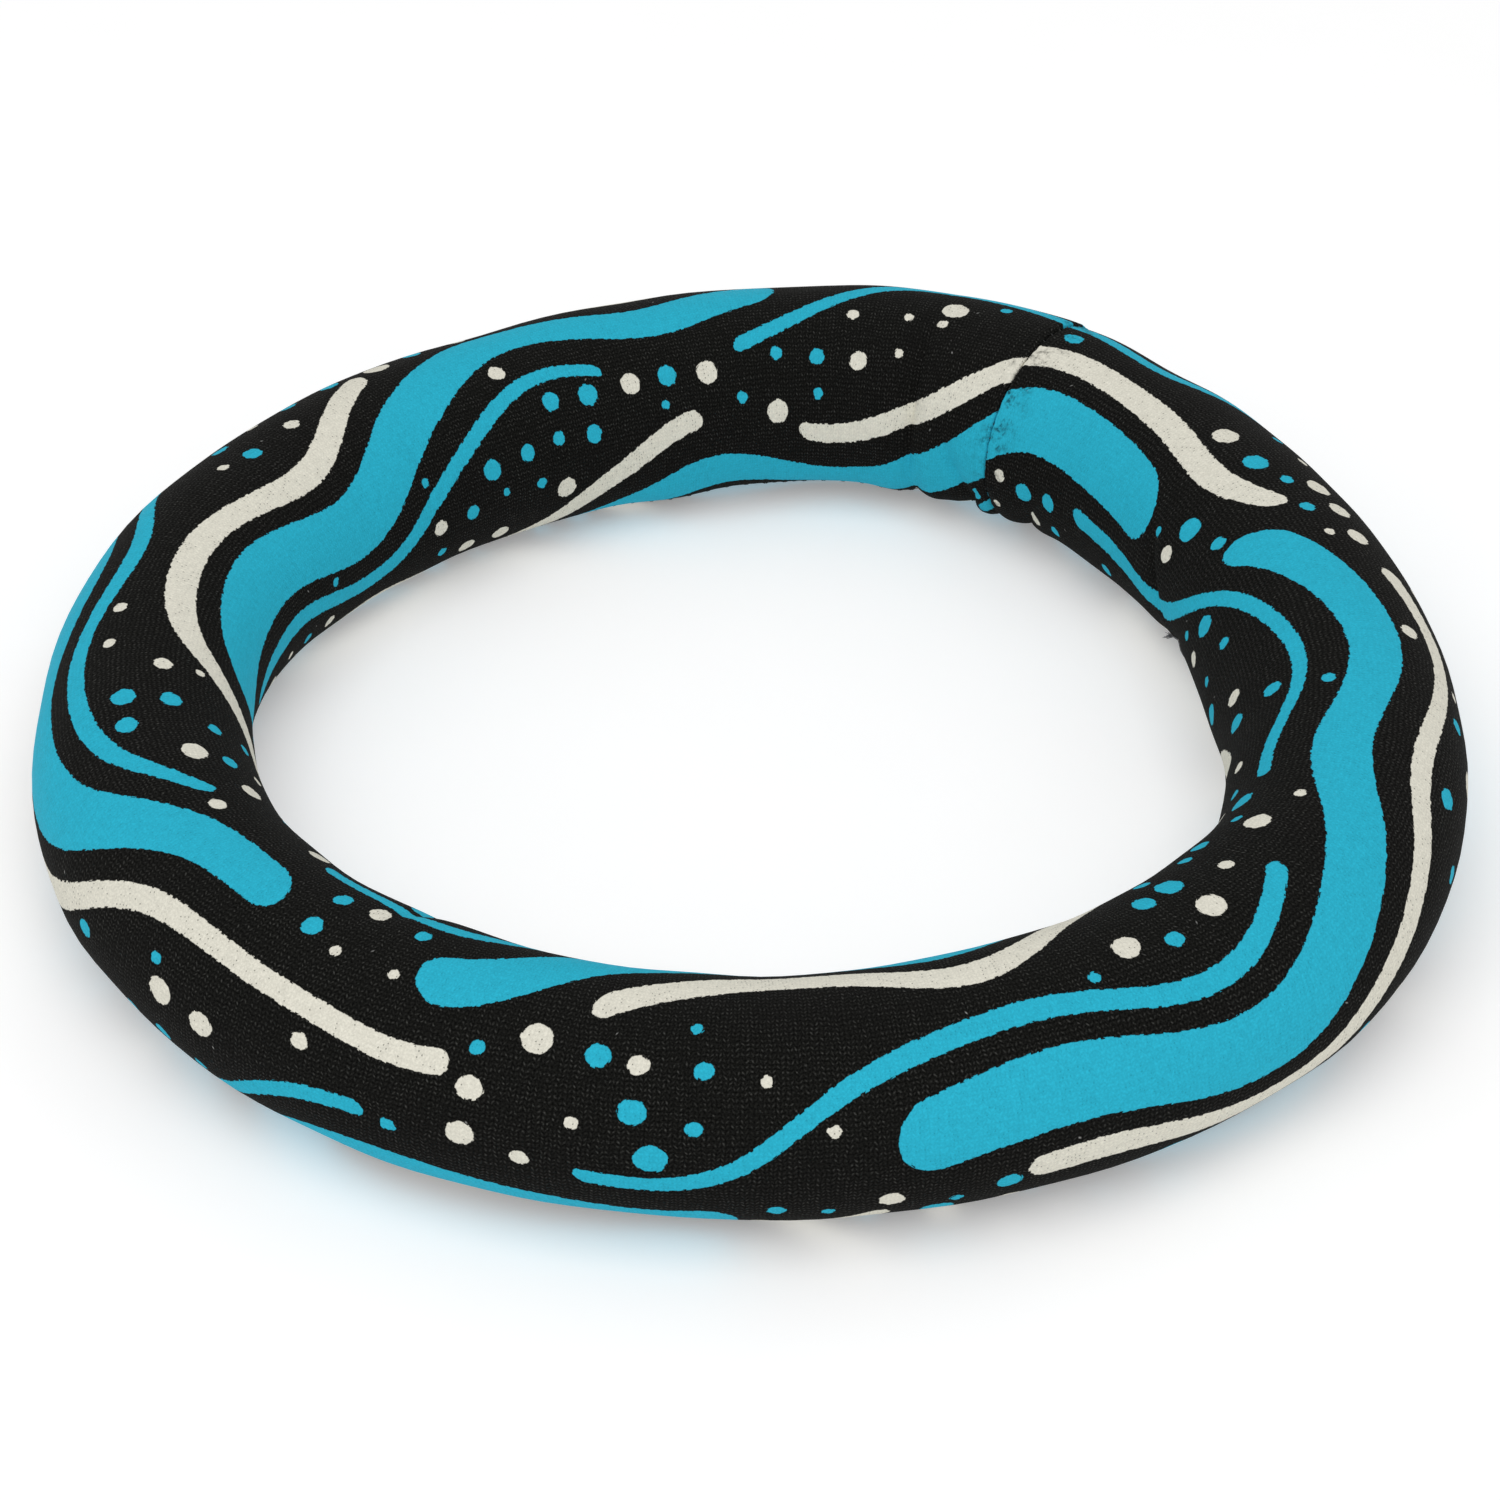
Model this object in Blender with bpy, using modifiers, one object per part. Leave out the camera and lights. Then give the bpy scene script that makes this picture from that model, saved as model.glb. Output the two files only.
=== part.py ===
"""A soft throwing ring: a bent foam core inside a sewn sleeve of knit-faced neoprene.

Metres, +Z up. The ring lies flat, with its underside on z = 0 and its outline centred on the Z axis.
A ring angle goes round the ring from +X towards +Y. A turn goes round the tube: 0 on the outer side
of the ring, a quarter turn at the top, half a turn in the hole.
"""

import math

import bmesh
import bpy
from mathutils import Vector

FULL_TURN = 2 * math.pi

# The ring, which is soft and lies a little out of round
RING_RADIUS = 0.105
TUBE_WIDTH = 0.041
TUBE_HEIGHT = 0.0382
FULLER_BY = 0.025
FULL_SIDE = math.radians(9)
# Each lobe: how many there are in the round, how far the ring swells there, and where one points
LOBES = (
    (2, 0.0012, math.radians(22)),
    (3, 0.0027, math.radians(73)),
    (4, 0.0012, math.radians(66)),
)
REST_FLAT_DEPTH = 0.0005

# The sleeve: a strip of neoprene sewn into a tube, both ends turned in and closed edge to edge
SLEEVE_THICKNESS = 0.002
SEAM_TURN = math.radians(236)
SEAM_GAP = 0.0006
SEAM_EDGE = 0.0012
CLOSURE_ANGLE = math.radians(58.4)
CLOSURE_GAP = 0.0006
FOLD_RADIUS = SLEEVE_THICKNESS + 0.0003
FOLD_STEPS = 4
HEM_SHOULDER = 0.0055
HEM_TURN_IN = 0.008
NECK_DEPTH = 0.0008
NECK_LENGTH = 0.010
# Each crease: ring angle, turn, slant from the ring's run, half length, half width, depth
CREASES = (
    (math.radians(70.5), math.radians(158), math.radians(90), 0.009, 0.0028, 0.0012),
    (math.radians(23.5), math.radians(176), math.radians(118), 0.008, 0.0026, 0.0011),
)

# The foam core: a thick-walled tube bent round until its ends meet, held by a plug in the bore
CLEARANCE = 0.0003
CORE_JOINT_GAP = 0.0006
CORE_WAIST_LENGTH = HEM_TURN_IN + 0.0015
BORE_RADIUS = 0.006
BORE_END_STEP = math.radians(1)
PLUG_RADIUS = 0.0052
PLUG_LENGTH = 0.060
PLUG_POINTS = 9

# The sewing thread
THREAD_RADIUS = 0.0002
SEAM_STITCH = 0.004
SEAM_STITCH_WIDTH = 0.003
SEAM_THREAD_END = 0.006
CLOSURE_STITCH = 0.003
CLOSURE_STITCH_HALF = 0.00055
CLOSURE_STITCH_INSET = 0.00035
TAIL_ANGLE = math.radians(19)
TAIL_LENGTH = 0.0115
TAIL_POINTS = 9
# The knot's thickness and then the tail's, in thread radii, from the seam outwards
KNOT_SHAPE = (1.6, 2.6, 2.6, 1.4)

# Finishes, as linear colours
KNIT_BLACK = (0.0085, 0.0085, 0.008)
FOAM_GREY = (0.32, 0.32, 0.33)
PLUG_WHITE = (0.6, 0.6, 0.58)
THREAD_BLACK = (0.012, 0.012, 0.012)

# How finely the surfaces are divided
BODY_ROWS = 50
FIRST_BODY_ROW = math.radians(8)
TUBE_STEPS = 20
PLAN_STEPS = 360
CREASE_ROWS = (-2, -1, 0, 1, 2)
SHARP_EDGE = math.radians(50)
WELD_DISTANCE = 1e-6
ROUND_BAR = 2
FINE_THREAD = 1


def signed_angle(angle):
    """The same angle, between minus half a turn and half a turn."""
    return (angle + math.pi) % FULL_TURN - math.pi


def ring_radius(angle):
    """Distance from the ring's middle to the middle of the tube."""
    swell = sum(height * math.cos(count * (angle - way)) for count, height, way in LOBES)
    return RING_RADIUS + swell


def ring_normal(angle):
    """Level direction out of the ring, square to the run of the tube."""
    slope = -sum(
        count * height * math.sin(count * (angle - way)) for count, height, way in LOBES
    )
    away = Vector((math.cos(angle), math.sin(angle), 0))
    onward = Vector((-math.sin(angle), math.cos(angle), 0))
    return (away * ring_radius(angle) - onward * slope).normalized()


def half_tube(angle):
    """Half the tube's width and half its height at this ring angle."""
    fullness = 1 + FULLER_BY * math.cos(angle - FULL_SIDE)
    return TUBE_WIDTH / 2 * fullness, TUBE_HEIGHT / 2 * fullness


def plan_centre():
    """Middle of the box round the ring's outline, seen from above."""
    outline = []
    for step in range(PLAN_STEPS):
        angle = FULL_TURN * step / PLAN_STEPS
        away = Vector((math.cos(angle), math.sin(angle), 0))
        outline.append(away * ring_radius(angle) + ring_normal(angle) * half_tube(angle)[0])
    low = Vector([min(point[axis] for point in outline) for axis in range(3)])
    high = Vector([max(point[axis] for point in outline) for axis in range(3)])
    return (low + high) / 2


PLAN_CENTRE = plan_centre()


def plan_reach(angle, turn):
    """Level distance from the ring's middle to the surface."""
    return ring_radius(angle) + half_tube(angle)[0] * math.cos(turn)


def dent_depth(angle, turn):
    """How far the surface is drawn in by the creases and by the neck before the closure."""
    depth = 0
    for crease_angle, crease_turn, slant, half_length, half_width, deep in CREASES:
        onward = signed_angle(angle - crease_angle) * plan_reach(angle, turn)
        around = signed_angle(turn - crease_turn) * TUBE_HEIGHT / 2
        along = onward * math.cos(slant) + around * math.sin(slant)
        across = around * math.cos(slant) - onward * math.sin(slant)
        depth += deep * math.exp(-((along / half_length) ** 2) - (across / half_width) ** 2)
    past_closure = (angle - CLOSURE_ANGLE) % FULL_TURN * plan_reach(angle, turn)
    return depth + NECK_DEPTH * math.exp(-((past_closure / NECK_LENGTH) ** 2))


def tube_point(angle, turn, inset=0.0):
    """Point of the tube's surface, moved in towards the middle of the tube by inset."""
    width, height = half_tube(angle)
    drawn_in = inset + dent_depth(angle, turn)
    point = Vector((math.cos(angle), math.sin(angle), 0)) * ring_radius(angle)
    point += ring_normal(angle) * (width - drawn_in) * math.cos(turn)
    level = height - REST_FLAT_DEPTH + (height - drawn_in) * math.sin(turn)
    return point - PLAN_CENTRE + Vector((0, 0, max(level, inset)))


def closure_point(side, along, inset, turn):
    """Point at a distance from the closure, on the side of it that the ring angle grows (1) or not (-1)."""
    start = CLOSURE_ANGLE if side > 0 else CLOSURE_ANGLE + FULL_TURN
    return tube_point(start + side * along / plan_reach(start, turn), turn, inset)


def body_angles():
    """Ring angles of the rows away from the closure, with closer rows across each crease."""
    first = CLOSURE_ANGLE + FIRST_BODY_ROW
    last = CLOSURE_ANGLE + FULL_TURN - FIRST_BODY_ROW
    angles = [first + (last - first) * row / BODY_ROWS for row in range(BODY_ROWS + 1)]
    for crease_angle, _, _, _, half_width, _ in CREASES:
        middle = CLOSURE_ANGLE + (crease_angle - CLOSURE_ANGLE) % FULL_TURN
        spread = half_width / RING_RADIUS
        rows = [middle + spread * step for step in CREASE_ROWS]
        angles = [angle for angle in angles if not rows[0] - spread < angle < rows[-1] + spread]
        angles += [angle for angle in rows if first <= angle <= last]
    return sorted(angles)


def sleeve_turns():
    """Turns round the tube from one edge of the strip to the other."""
    edge = SEAM_GAP / TUBE_HEIGHT
    inner = edge + 2 * SEAM_EDGE / TUBE_HEIGHT
    span = FULL_TURN - 2 * inner
    turns = [inner + span * step / TUBE_STEPS for step in range(TUBE_STEPS + 1)]
    return [SEAM_TURN + turn for turn in (edge, *turns, FULL_TURN - edge)]


def sweep(name, rows, closed):
    """Mesh over rows of points, closed round the tube and capped at both ends where asked."""
    mesh = bpy.data.meshes.new(name)
    shape = bmesh.new()
    grid = [[shape.verts.new(point) for point in row] for row in rows]
    columns = len(rows[0]) if closed else len(rows[0]) - 1
    for near, far in zip(grid, grid[1:]):
        for column in range(columns):
            after = (column + 1) % len(near)
            shape.faces.new((near[column], far[column], far[after], near[after]))
    if closed:
        shape.faces.new(grid[0])
        shape.faces.new(reversed(grid[-1]))
        bmesh.ops.recalc_face_normals(shape, faces=shape.faces)
    shape.to_mesh(mesh)
    shape.free()
    mesh.shade_smooth()
    mesh.set_sharp_from_angle(angle=SHARP_EDGE)
    return mesh


def tube_curve(name, points, radius, resolution=0, thickness=None):
    """Curve object along points, thickened to a round bar with closed ends."""
    curve = bpy.data.curves.new(name, "CURVE")
    curve.dimensions = "3D"
    curve.bevel_depth = radius
    curve.bevel_resolution = resolution
    curve.use_fill_caps = True
    spline = curve.splines.new("POLY")
    spline.points.add(len(points) - 1)
    for index, point in enumerate(points):
        spline.points[index].co = (*point, 1)
        if thickness:
            spline.points[index].radius = thickness[index]
    return bpy.data.objects.new(name, curve)


def material(name, colour, roughness):
    made = bpy.data.materials.new(name)
    made.use_nodes = True
    shader = made.node_tree.nodes["Principled BSDF"]
    shader.inputs["Base Color"].default_value = (*colour, 1)
    shader.inputs["Roughness"].default_value = roughness
    shader.inputs["Metallic"].default_value = 0
    made.diffuse_color = (*colour, 1)
    return made


def add_piece(obj, collection, finish, parent):
    collection.objects.link(obj)
    obj.data.materials.append(finish)
    obj.parent = parent
    return obj


def hem_rows(side, turns):
    """Rows of one end of the sleeve, from its outer wall round the fold to the raw edge inside."""
    fold_middle = CLOSURE_GAP / 2 + FOLD_RADIUS
    path = [(HEM_SHOULDER, 0)]
    for step in range(FOLD_STEPS + 1):
        swing = math.pi * step / FOLD_STEPS
        along = fold_middle - FOLD_RADIUS * math.sin(swing)
        path.append((along, FOLD_RADIUS * (1 - math.cos(swing))))
    path.append((HEM_TURN_IN, 2 * FOLD_RADIUS))
    return [[closure_point(side, along, inset, turn) for turn in turns] for along, inset in path]


def sleeve():
    """One strip, open along the seam, with both ends folded inwards."""
    turns = sleeve_turns()
    rows = hem_rows(1, turns)[::-1]
    rows += [[tube_point(angle, turn) for turn in turns] for angle in body_angles()]
    rows += hem_rows(-1, turns)
    obj = bpy.data.objects.new("neoprene_sleeve", sweep("neoprene_sleeve", rows, closed=False))
    shell = obj.modifiers.new("strip thickness", "SOLIDIFY")
    shell.thickness = SLEEVE_THICKNESS
    shell.offset = -1
    shell.use_even_offset = True
    return obj


def core_solid():
    """The foam tube before its bore is cut, slimmer at the ends where the folded hems press on it."""
    turns = sleeve_turns()
    inset = SLEEVE_THICKNESS + CLEARANCE
    waist_inset = 2 * FOLD_RADIUS + CLEARANCE
    waist = (CORE_JOINT_GAP / 2, CORE_WAIST_LENGTH)
    rows = [[closure_point(1, along, waist_inset, turn) for turn in turns] for along in waist]
    rows += [[tube_point(angle, turn, inset) for turn in turns] for angle in body_angles()]
    rows += [
        [closure_point(-1, along, waist_inset, turn) for turn in turns] for along in waist[::-1]
    ]
    return bpy.data.objects.new("foam_core", sweep("foam_core", rows, closed=True))


def tube_middle(angle):
    """Point on the middle line of the tube."""
    point = Vector((math.cos(angle), math.sin(angle), 0)) * ring_radius(angle)
    return point - PLAN_CENTRE + Vector((0, 0, half_tube(angle)[1] - REST_FLAT_DEPTH))


def bore_cutter(collection):
    """Closed mesh of the bore, running past both ends of the core."""
    end = CORE_JOINT_GAP / 4 / RING_RADIUS
    first = [CLOSURE_ANGLE + end, CLOSURE_ANGLE + end + BORE_END_STEP]
    last = [2 * CLOSURE_ANGLE + FULL_TURN - angle for angle in reversed(first)]
    angles = [*first, *body_angles(), *last]
    curve = tube_curve("bore curve", [tube_middle(a) for a in angles], BORE_RADIUS, ROUND_BAR)
    collection.objects.link(curve)
    bpy.context.view_layer.update()
    graph = bpy.context.evaluated_depsgraph_get()
    mesh = bpy.data.meshes.new_from_object(curve.evaluated_get(graph))
    bpy.data.objects.remove(curve)
    shape = bmesh.new()
    shape.from_mesh(mesh)
    bmesh.ops.remove_doubles(shape, verts=shape.verts, dist=WELD_DISTANCE)
    bmesh.ops.recalc_face_normals(shape, faces=shape.faces)
    shape.to_mesh(mesh)
    shape.free()
    cutter = bpy.data.objects.new("bore_cutter", mesh)
    cutter.hide_render = True
    cutter.display_type = "WIRE"
    collection.objects.link(cutter)
    return cutter


def plug():
    """Round bar in the bore, across the joint of the core."""
    half = PLUG_LENGTH / 2 / RING_RADIUS
    angles = [
        CLOSURE_ANGLE + half * (2 * step / (PLUG_POINTS - 1) - 1) for step in range(PLUG_POINTS)
    ]
    return tube_curve("core_plug", [tube_middle(a) for a in angles], PLUG_RADIUS, ROUND_BAR)


def seam_thread():
    """Zigzag stitches over the butted edges of the strip."""
    reach = plan_reach(CLOSURE_ANGLE, SEAM_TURN)
    end = SEAM_THREAD_END / reach
    span = FULL_TURN - 2 * end
    count = 2 * round(span * reach / SEAM_STITCH)
    half_width = SEAM_STITCH_WIDTH / TUBE_HEIGHT
    points = []
    for step in range(count + 1):
        side = 1 if step % 2 else -1
        angle = CLOSURE_ANGLE + end + span * step / count
        points.append(tube_point(angle, SEAM_TURN + side * half_width, -CLEARANCE - THREAD_RADIUS))
    return tube_curve("seam_thread", points, THREAD_RADIUS)


def closure_thread():
    """Ladder stitches from one folded edge to the other, sunk in the groove between them."""
    gap = 2 * SEAM_STITCH_WIDTH / TUBE_HEIGHT
    span = FULL_TURN - 2 * gap
    count = 2 * round(span * TUBE_HEIGHT / 2 / CLOSURE_STITCH)
    points = []
    for step in range(count + 1):
        side = 1 if step % 2 else -1
        turn = SEAM_TURN + gap + span * step / count
        points.append(closure_point(side, CLOSURE_STITCH_HALF, CLOSURE_STITCH_INSET, turn))
    return tube_curve("closure_thread", points, THREAD_RADIUS)


def thread_tail():
    """Knot at the end of the hand sewing, with the loose end of the thread lying on the sleeve."""
    start = SEAM_TURN - 2 * SEAM_STITCH_WIDTH / TUBE_HEIGHT
    span = TAIL_LENGTH / (TUBE_HEIGHT / 2)
    thickness = [*KNOT_SHAPE, *[1] * (TAIL_POINTS - len(KNOT_SHAPE))]
    stand_off = CLEARANCE + THREAD_RADIUS * max(KNOT_SHAPE)
    points = []
    for step in range(TAIL_POINTS):
        turn = start - span * step / (TAIL_POINTS - 1)
        points.append(tube_point(TAIL_ANGLE, turn, -stand_off))
    return tube_curve("thread_tail", points, THREAD_RADIUS, FINE_THREAD, thickness)


def main():
    for obj in list(bpy.data.objects):
        bpy.data.objects.remove(obj)
    parts = bpy.data.collections.new("flying_ring")
    cutters = bpy.data.collections.new("cutters")
    bpy.context.scene.collection.children.link(parts)
    bpy.context.scene.collection.children.link(cutters)
    ring = bpy.data.objects.new("ring_origin", None)
    parts.objects.link(ring)

    knit = material("black knit neoprene", KNIT_BLACK, 0.8)
    foam = material("grey foam", FOAM_GREY, 0.9)
    plastic = material("plug plastic", PLUG_WHITE, 0.5)
    thread = material("black thread", THREAD_BLACK, 0.7)

    add_piece(sleeve(), parts, knit, ring)
    core = add_piece(core_solid(), parts, foam, ring)
    bore = core.modifiers.new("bore", "BOOLEAN")
    bore.operation = "DIFFERENCE"
    bore.solver = "EXACT"
    bore.object = bore_cutter(cutters)
    add_piece(plug(), parts, plastic, ring)
    for sewn in (seam_thread(), closure_thread(), thread_tail()):
        add_piece(sewn, parts, thread, ring)


main()
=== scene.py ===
# %% [markdown]
# # A soft throwing ring
#
# The ring is a foam tube bent into a circle inside a sewn sleeve of knit-faced neoprene. The packed
# model gives the frame: where the ring lies, how large it is, and one node for each piece. This lesson
# dresses those nodes: the soft sleeve, the sewing and the printed knit are made here, at the same sizes.

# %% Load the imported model
import math
import random
from functools import partial

import bpy
import numpy as np
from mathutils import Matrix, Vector


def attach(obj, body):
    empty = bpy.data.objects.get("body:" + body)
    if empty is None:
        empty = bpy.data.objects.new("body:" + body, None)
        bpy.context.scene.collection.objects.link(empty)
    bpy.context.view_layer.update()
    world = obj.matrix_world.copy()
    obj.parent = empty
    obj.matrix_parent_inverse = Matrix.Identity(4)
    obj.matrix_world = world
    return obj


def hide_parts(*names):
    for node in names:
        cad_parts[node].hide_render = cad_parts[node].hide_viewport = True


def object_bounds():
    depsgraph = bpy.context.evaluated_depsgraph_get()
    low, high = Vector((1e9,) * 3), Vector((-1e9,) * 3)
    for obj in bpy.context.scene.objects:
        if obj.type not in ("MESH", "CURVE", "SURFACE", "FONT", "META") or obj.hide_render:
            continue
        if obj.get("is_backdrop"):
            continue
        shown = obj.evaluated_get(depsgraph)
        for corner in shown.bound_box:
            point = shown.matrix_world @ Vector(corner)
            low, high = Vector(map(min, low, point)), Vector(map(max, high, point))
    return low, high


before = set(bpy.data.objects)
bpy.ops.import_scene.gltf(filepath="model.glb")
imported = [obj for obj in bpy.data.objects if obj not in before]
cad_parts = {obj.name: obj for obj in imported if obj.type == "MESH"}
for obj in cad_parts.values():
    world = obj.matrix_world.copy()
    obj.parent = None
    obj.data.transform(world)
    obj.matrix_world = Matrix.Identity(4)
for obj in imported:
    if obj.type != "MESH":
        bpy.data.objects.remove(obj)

CAD_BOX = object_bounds()
FULL_TURN = 2 * math.pi
MM = 0.001
print("nodes:", ", ".join(sorted(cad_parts)))

# %% [markdown]
# ## The ring's own shape
#
# The tube has a slightly flattened round section, and the ring lies a little out of round, as a soft ring
# does. Two angles name every spot on it. The *ring angle* goes round the ring from +X towards +Y. The
# *turn* goes round the tube: 0 on the outer side, a quarter at the top, half a turn in the hole. The
# sizes repeat the solid's own, so that the sleeve lies where the solid lies. The formulas work on whole
# arrays at once, because the sleeve has tens of thousands of points.

# %% Ring and tube
RING_RADIUS = 105 * MM
TUBE_WIDTH = 41 * MM
TUBE_HEIGHT = 38.2 * MM
TUBE_RADIUS = (TUBE_WIDTH + TUBE_HEIGHT) / 4
# The tube is fuller by this share on one side of the ring, and thinner by it on the other
FULLER_BY = 0.025
FULL_SIDE = math.radians(9)
# Each lobe: how many there are in the round, how far the ring swells there, and where one points
LOBES = (
    (2, 1.2 * MM, math.radians(22)),
    (3, 2.7 * MM, math.radians(73)),
    (4, 1.2 * MM, math.radians(66)),
)
# How much of the underside is pressed flat
REST_FLAT_DEPTH = 0.5 * MM


def signed_angle(angle):
    """The same angle, between minus half a turn and half a turn."""
    return (angle + math.pi) % FULL_TURN - math.pi


def ring_radius(angle):
    """Distance from the ring's middle to the middle of the tube."""
    return RING_RADIUS + sum(high * np.cos(count * (angle - way)) for count, high, way in LOBES)


def ring_normal(angle):
    """Level direction out of the ring, square to the run of the tube."""
    slope = -sum(count * high * np.sin(count * (angle - way)) for count, high, way in LOBES)
    radius = ring_radius(angle)
    out_x = np.cos(angle) * radius + np.sin(angle) * slope
    out_y = np.sin(angle) * radius - np.cos(angle) * slope
    length = np.hypot(out_x, out_y)
    return out_x / length, out_y / length


def half_tube(angle):
    """Half the tube's width and half its height."""
    fullness = 1 + FULLER_BY * np.cos(angle - FULL_SIDE)
    return TUBE_WIDTH / 2 * fullness, TUBE_HEIGHT / 2 * fullness


def plan_reach(angle, turn):
    """Level distance from the ring's middle to the surface."""
    return ring_radius(angle) + half_tube(angle)[0] * np.cos(turn)


# %% Put the outline's middle on the Z axis
PLAN_STEPS = 360
plan_angles = np.arange(PLAN_STEPS) * FULL_TURN / PLAN_STEPS
plan_out = ring_normal(plan_angles)
plan_x = ring_radius(plan_angles) * np.cos(plan_angles) + plan_out[0] * half_tube(plan_angles)[0]
plan_y = ring_radius(plan_angles) * np.sin(plan_angles) + plan_out[1] * half_tube(plan_angles)[0]
MIDDLE_X = (plan_x.min() + plan_x.max()) / 2
MIDDLE_Y = (plan_y.min() + plan_y.max()) / 2


def tube_points(angle, turn, lift, rest=0.0):
    """Points of the tube's surface, moved out from the middle of the tube by lift, none below rest."""
    width, height = half_tube(angle)
    out_x, out_y = ring_normal(angle)
    reach = (width + lift) * np.cos(turn)
    x = ring_radius(angle) * np.cos(angle) + out_x * reach - MIDDLE_X
    y = ring_radius(angle) * np.sin(angle) + out_y * reach - MIDDLE_Y
    z = height - REST_FLAT_DEPTH + (height + lift) * np.sin(turn)
    return np.stack(np.broadcast_arrays(x, y, np.maximum(z, rest)), axis=-1)


print("ring about", round(float(np.ptp(plan_x)) / MM, 1), "by", round(float(np.ptp(plan_y)) / MM, 1), "mm")

# %% [markdown]
# ## The camera
#
# The ring is seen from the front and from above, with a long lens. The camera's height, distance and lens
# were fitted together with the ring's sizes, so the outline in the picture is the outline of the real one.

# %% Camera
CAMERA_LENS = 103.4
CAMERA_DISTANCE = 756 * MM
CAMERA_ELEVATION = math.radians(37.58)
CAMERA_CLIP_START = 10 * MM
AIM_X = -0.27 * MM - MIDDLE_X
AIM_Y = -12.43 * MM - MIDDLE_Y
AIM_Z = TUBE_HEIGHT / 2 - REST_FLAT_DEPTH


def add_object(name, data):
    """New object with this data, linked into the scene."""
    made = bpy.data.objects.new(name, data)
    bpy.context.scene.collection.objects.link(made)
    return made


camera_data = bpy.data.cameras.new("camera")
camera_data.lens = CAMERA_LENS
camera_data.clip_start = CAMERA_CLIP_START
camera = add_object("camera", camera_data)
back = Vector((0, -math.cos(CAMERA_ELEVATION), math.sin(CAMERA_ELEVATION)))
camera.location = Vector((AIM_X, AIM_Y, AIM_Z)) + back * CAMERA_DISTANCE
camera.rotation_euler = (math.pi / 2 - CAMERA_ELEVATION, 0, 0)
bpy.context.scene.camera = camera
print("camera at", [round(c, 3) for c in camera.location])

# %% [markdown]
# ## Where the soft tube has settled
#
# No two stretches of a soft tube lie alike. Long, low swellings and flats, a millimetre or so high, give
# the ring the outline that it has on the table. They could be sculpted by hand, but a short list of soft
# mounds can be read and changed: each has a place, a length, a width and a height.

# %% Settled stretches
# Each stretch: ring angle and turn in degrees, then half length, half width and height in mm
SETTLED = (
    # Along the outer side
    (180, 16, 27.0, 20.0, -1.75),
    (48, 52, 13.0, 16.0, -1.5),
    (35, 40, 11.0, 16.0, -0.5),
    (88, 58, 20.0, 14.0, -0.8),
    (101, 56, 9.0, 14.0, -0.5),
    (134, 46, 23.0, 16.0, 1.0),
    (206, -20, 10.0, 14.0, 0.6),
    (322, -18, 16.0, 14.0, 0.6),
    # Along the hole side
    (4, 195, 13.0, 14.0, 1.35),
    (24.6, 218, 3.2, 12.0, -0.6),
    (40, 220, 12.0, 12.0, 0.45),
    (60.5, 222, 2.2, 12.0, 1.3),
    (67.8, 222, 2.4, 10.0, 0.7),
    (73.2, 222, 4.5, 12.0, 0.8),
    (100, 228, 9.0, 12.0, 1.1),
    (166, 190, 18.0, 14.0, -0.8),
    (181, 180, 9.0, 14.0, -0.5),
    (206, 158, 12.0, 14.0, -0.5),
    (240, 135, 12.0, 12.0, 0.7),
    (277, 132, 21.0, 14.0, -0.8),
    (333, 155, 14.0, 14.0, -1.5),
)


def from_place(angle, turn, place_angle, place_turn):
    """Distances on the surface from a place, in mm: onward round the ring and around the tube."""
    onward = signed_angle(angle - math.radians(place_angle)) * plan_reach(angle, turn)
    around = signed_angle(turn - math.radians(place_turn)) * TUBE_RADIUS
    return onward / MM, around / MM


def settled_lift(angle, turn):
    """How far the settled stretches stand out (above 0) or lie flat (below 0)."""
    lift = 0
    for place_angle, place_turn, half_length, half_width, high in SETTLED:
        onward, around = from_place(angle, turn, place_angle, place_turn)
        lift = lift + high * MM * np.exp(-((onward / half_length) ** 2) - (around / half_width) ** 2)
    return lift


print(len(SETTLED), "settled stretches")

# %% [markdown]
# ## Creases
#
# The sleeve is a straight strip bent round a ring, so the hole side has more cloth than it needs. Near the
# closure, where the two ends are drawn together by hand, the spare cloth buckles into creases that run
# round the tube. A bump texture could darken such a line, but these show in the outline too, so they move
# the surface. A crease is a valley with a sharp bottom, and each of its two walls has a width of its own.

# %% Creases
# Each crease: ring angle, turn and slant in degrees, then half length, left and right width, depth in mm
CREASES = (
    # Left of the closure: the deep crease, and three short ones on the hole side
    (70.3, 158, 90, 18.0, 2.0, 1.3, 2.3),
    (63.5, 191, 114, 8.0, 1.8, 1.8, 1.2),
    (61.8, 218, 72, 10.0, 1.4, 0.5, 1.2),
    (69.9, 222, 78, 8.0, 0.8, 0.6, 0.45),
    # The lower end of the closure, and a pinch to the right of it
    (58.4, 224, 90, 9.0, 0.8, 0.8, 0.5),
    (53.0, 214, 66, 11.0, 1.3, 1.8, 1.2),
    # Over the thread's end, with a soft dent above it
    (25.0, 175, 121, 10.0, 2.2, 0.6, 1.5),
    (20.8, 206, 48, 8.0, 1.6, 1.4, 1.1),
    (24.1, 127, 104, 8.0, 1.8, 1.8, 0.35),
    # Shallow dents further round
    (144.6, 137, 96, 7.0, 1.6, 1.6, 0.8),
    (135.2, 150, 89, 8.0, 1.3, 1.3, 0.9),
    (235.0, 128, 76, 7.0, 1.6, 1.6, 0.80),
)


def from_crease(angle, turn, crease):
    """Distances from a crease in mm: along it from its middle, and across it, right of it above 0."""
    place_angle, place_turn, slant = crease[:3]
    onward, around = from_place(angle, turn, place_angle, place_turn)
    slant = math.radians(slant)
    along = onward * math.cos(slant) + around * math.sin(slant)
    across = around * math.cos(slant) - onward * math.sin(slant)
    return along, across


def crease_lift(angle, turn):
    """How far the creases draw the surface in."""
    lift = 0
    for crease in CREASES:
        half_length, left, right, deep = crease[3:]
        along, across = from_crease(angle, turn, crease)
        away = np.where(across < 0, -across / left, across / right)
        lift = lift - deep * MM * np.exp(-((along / half_length) ** 2) - away)
    return lift


print(len(CREASES), "creases")

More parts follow.
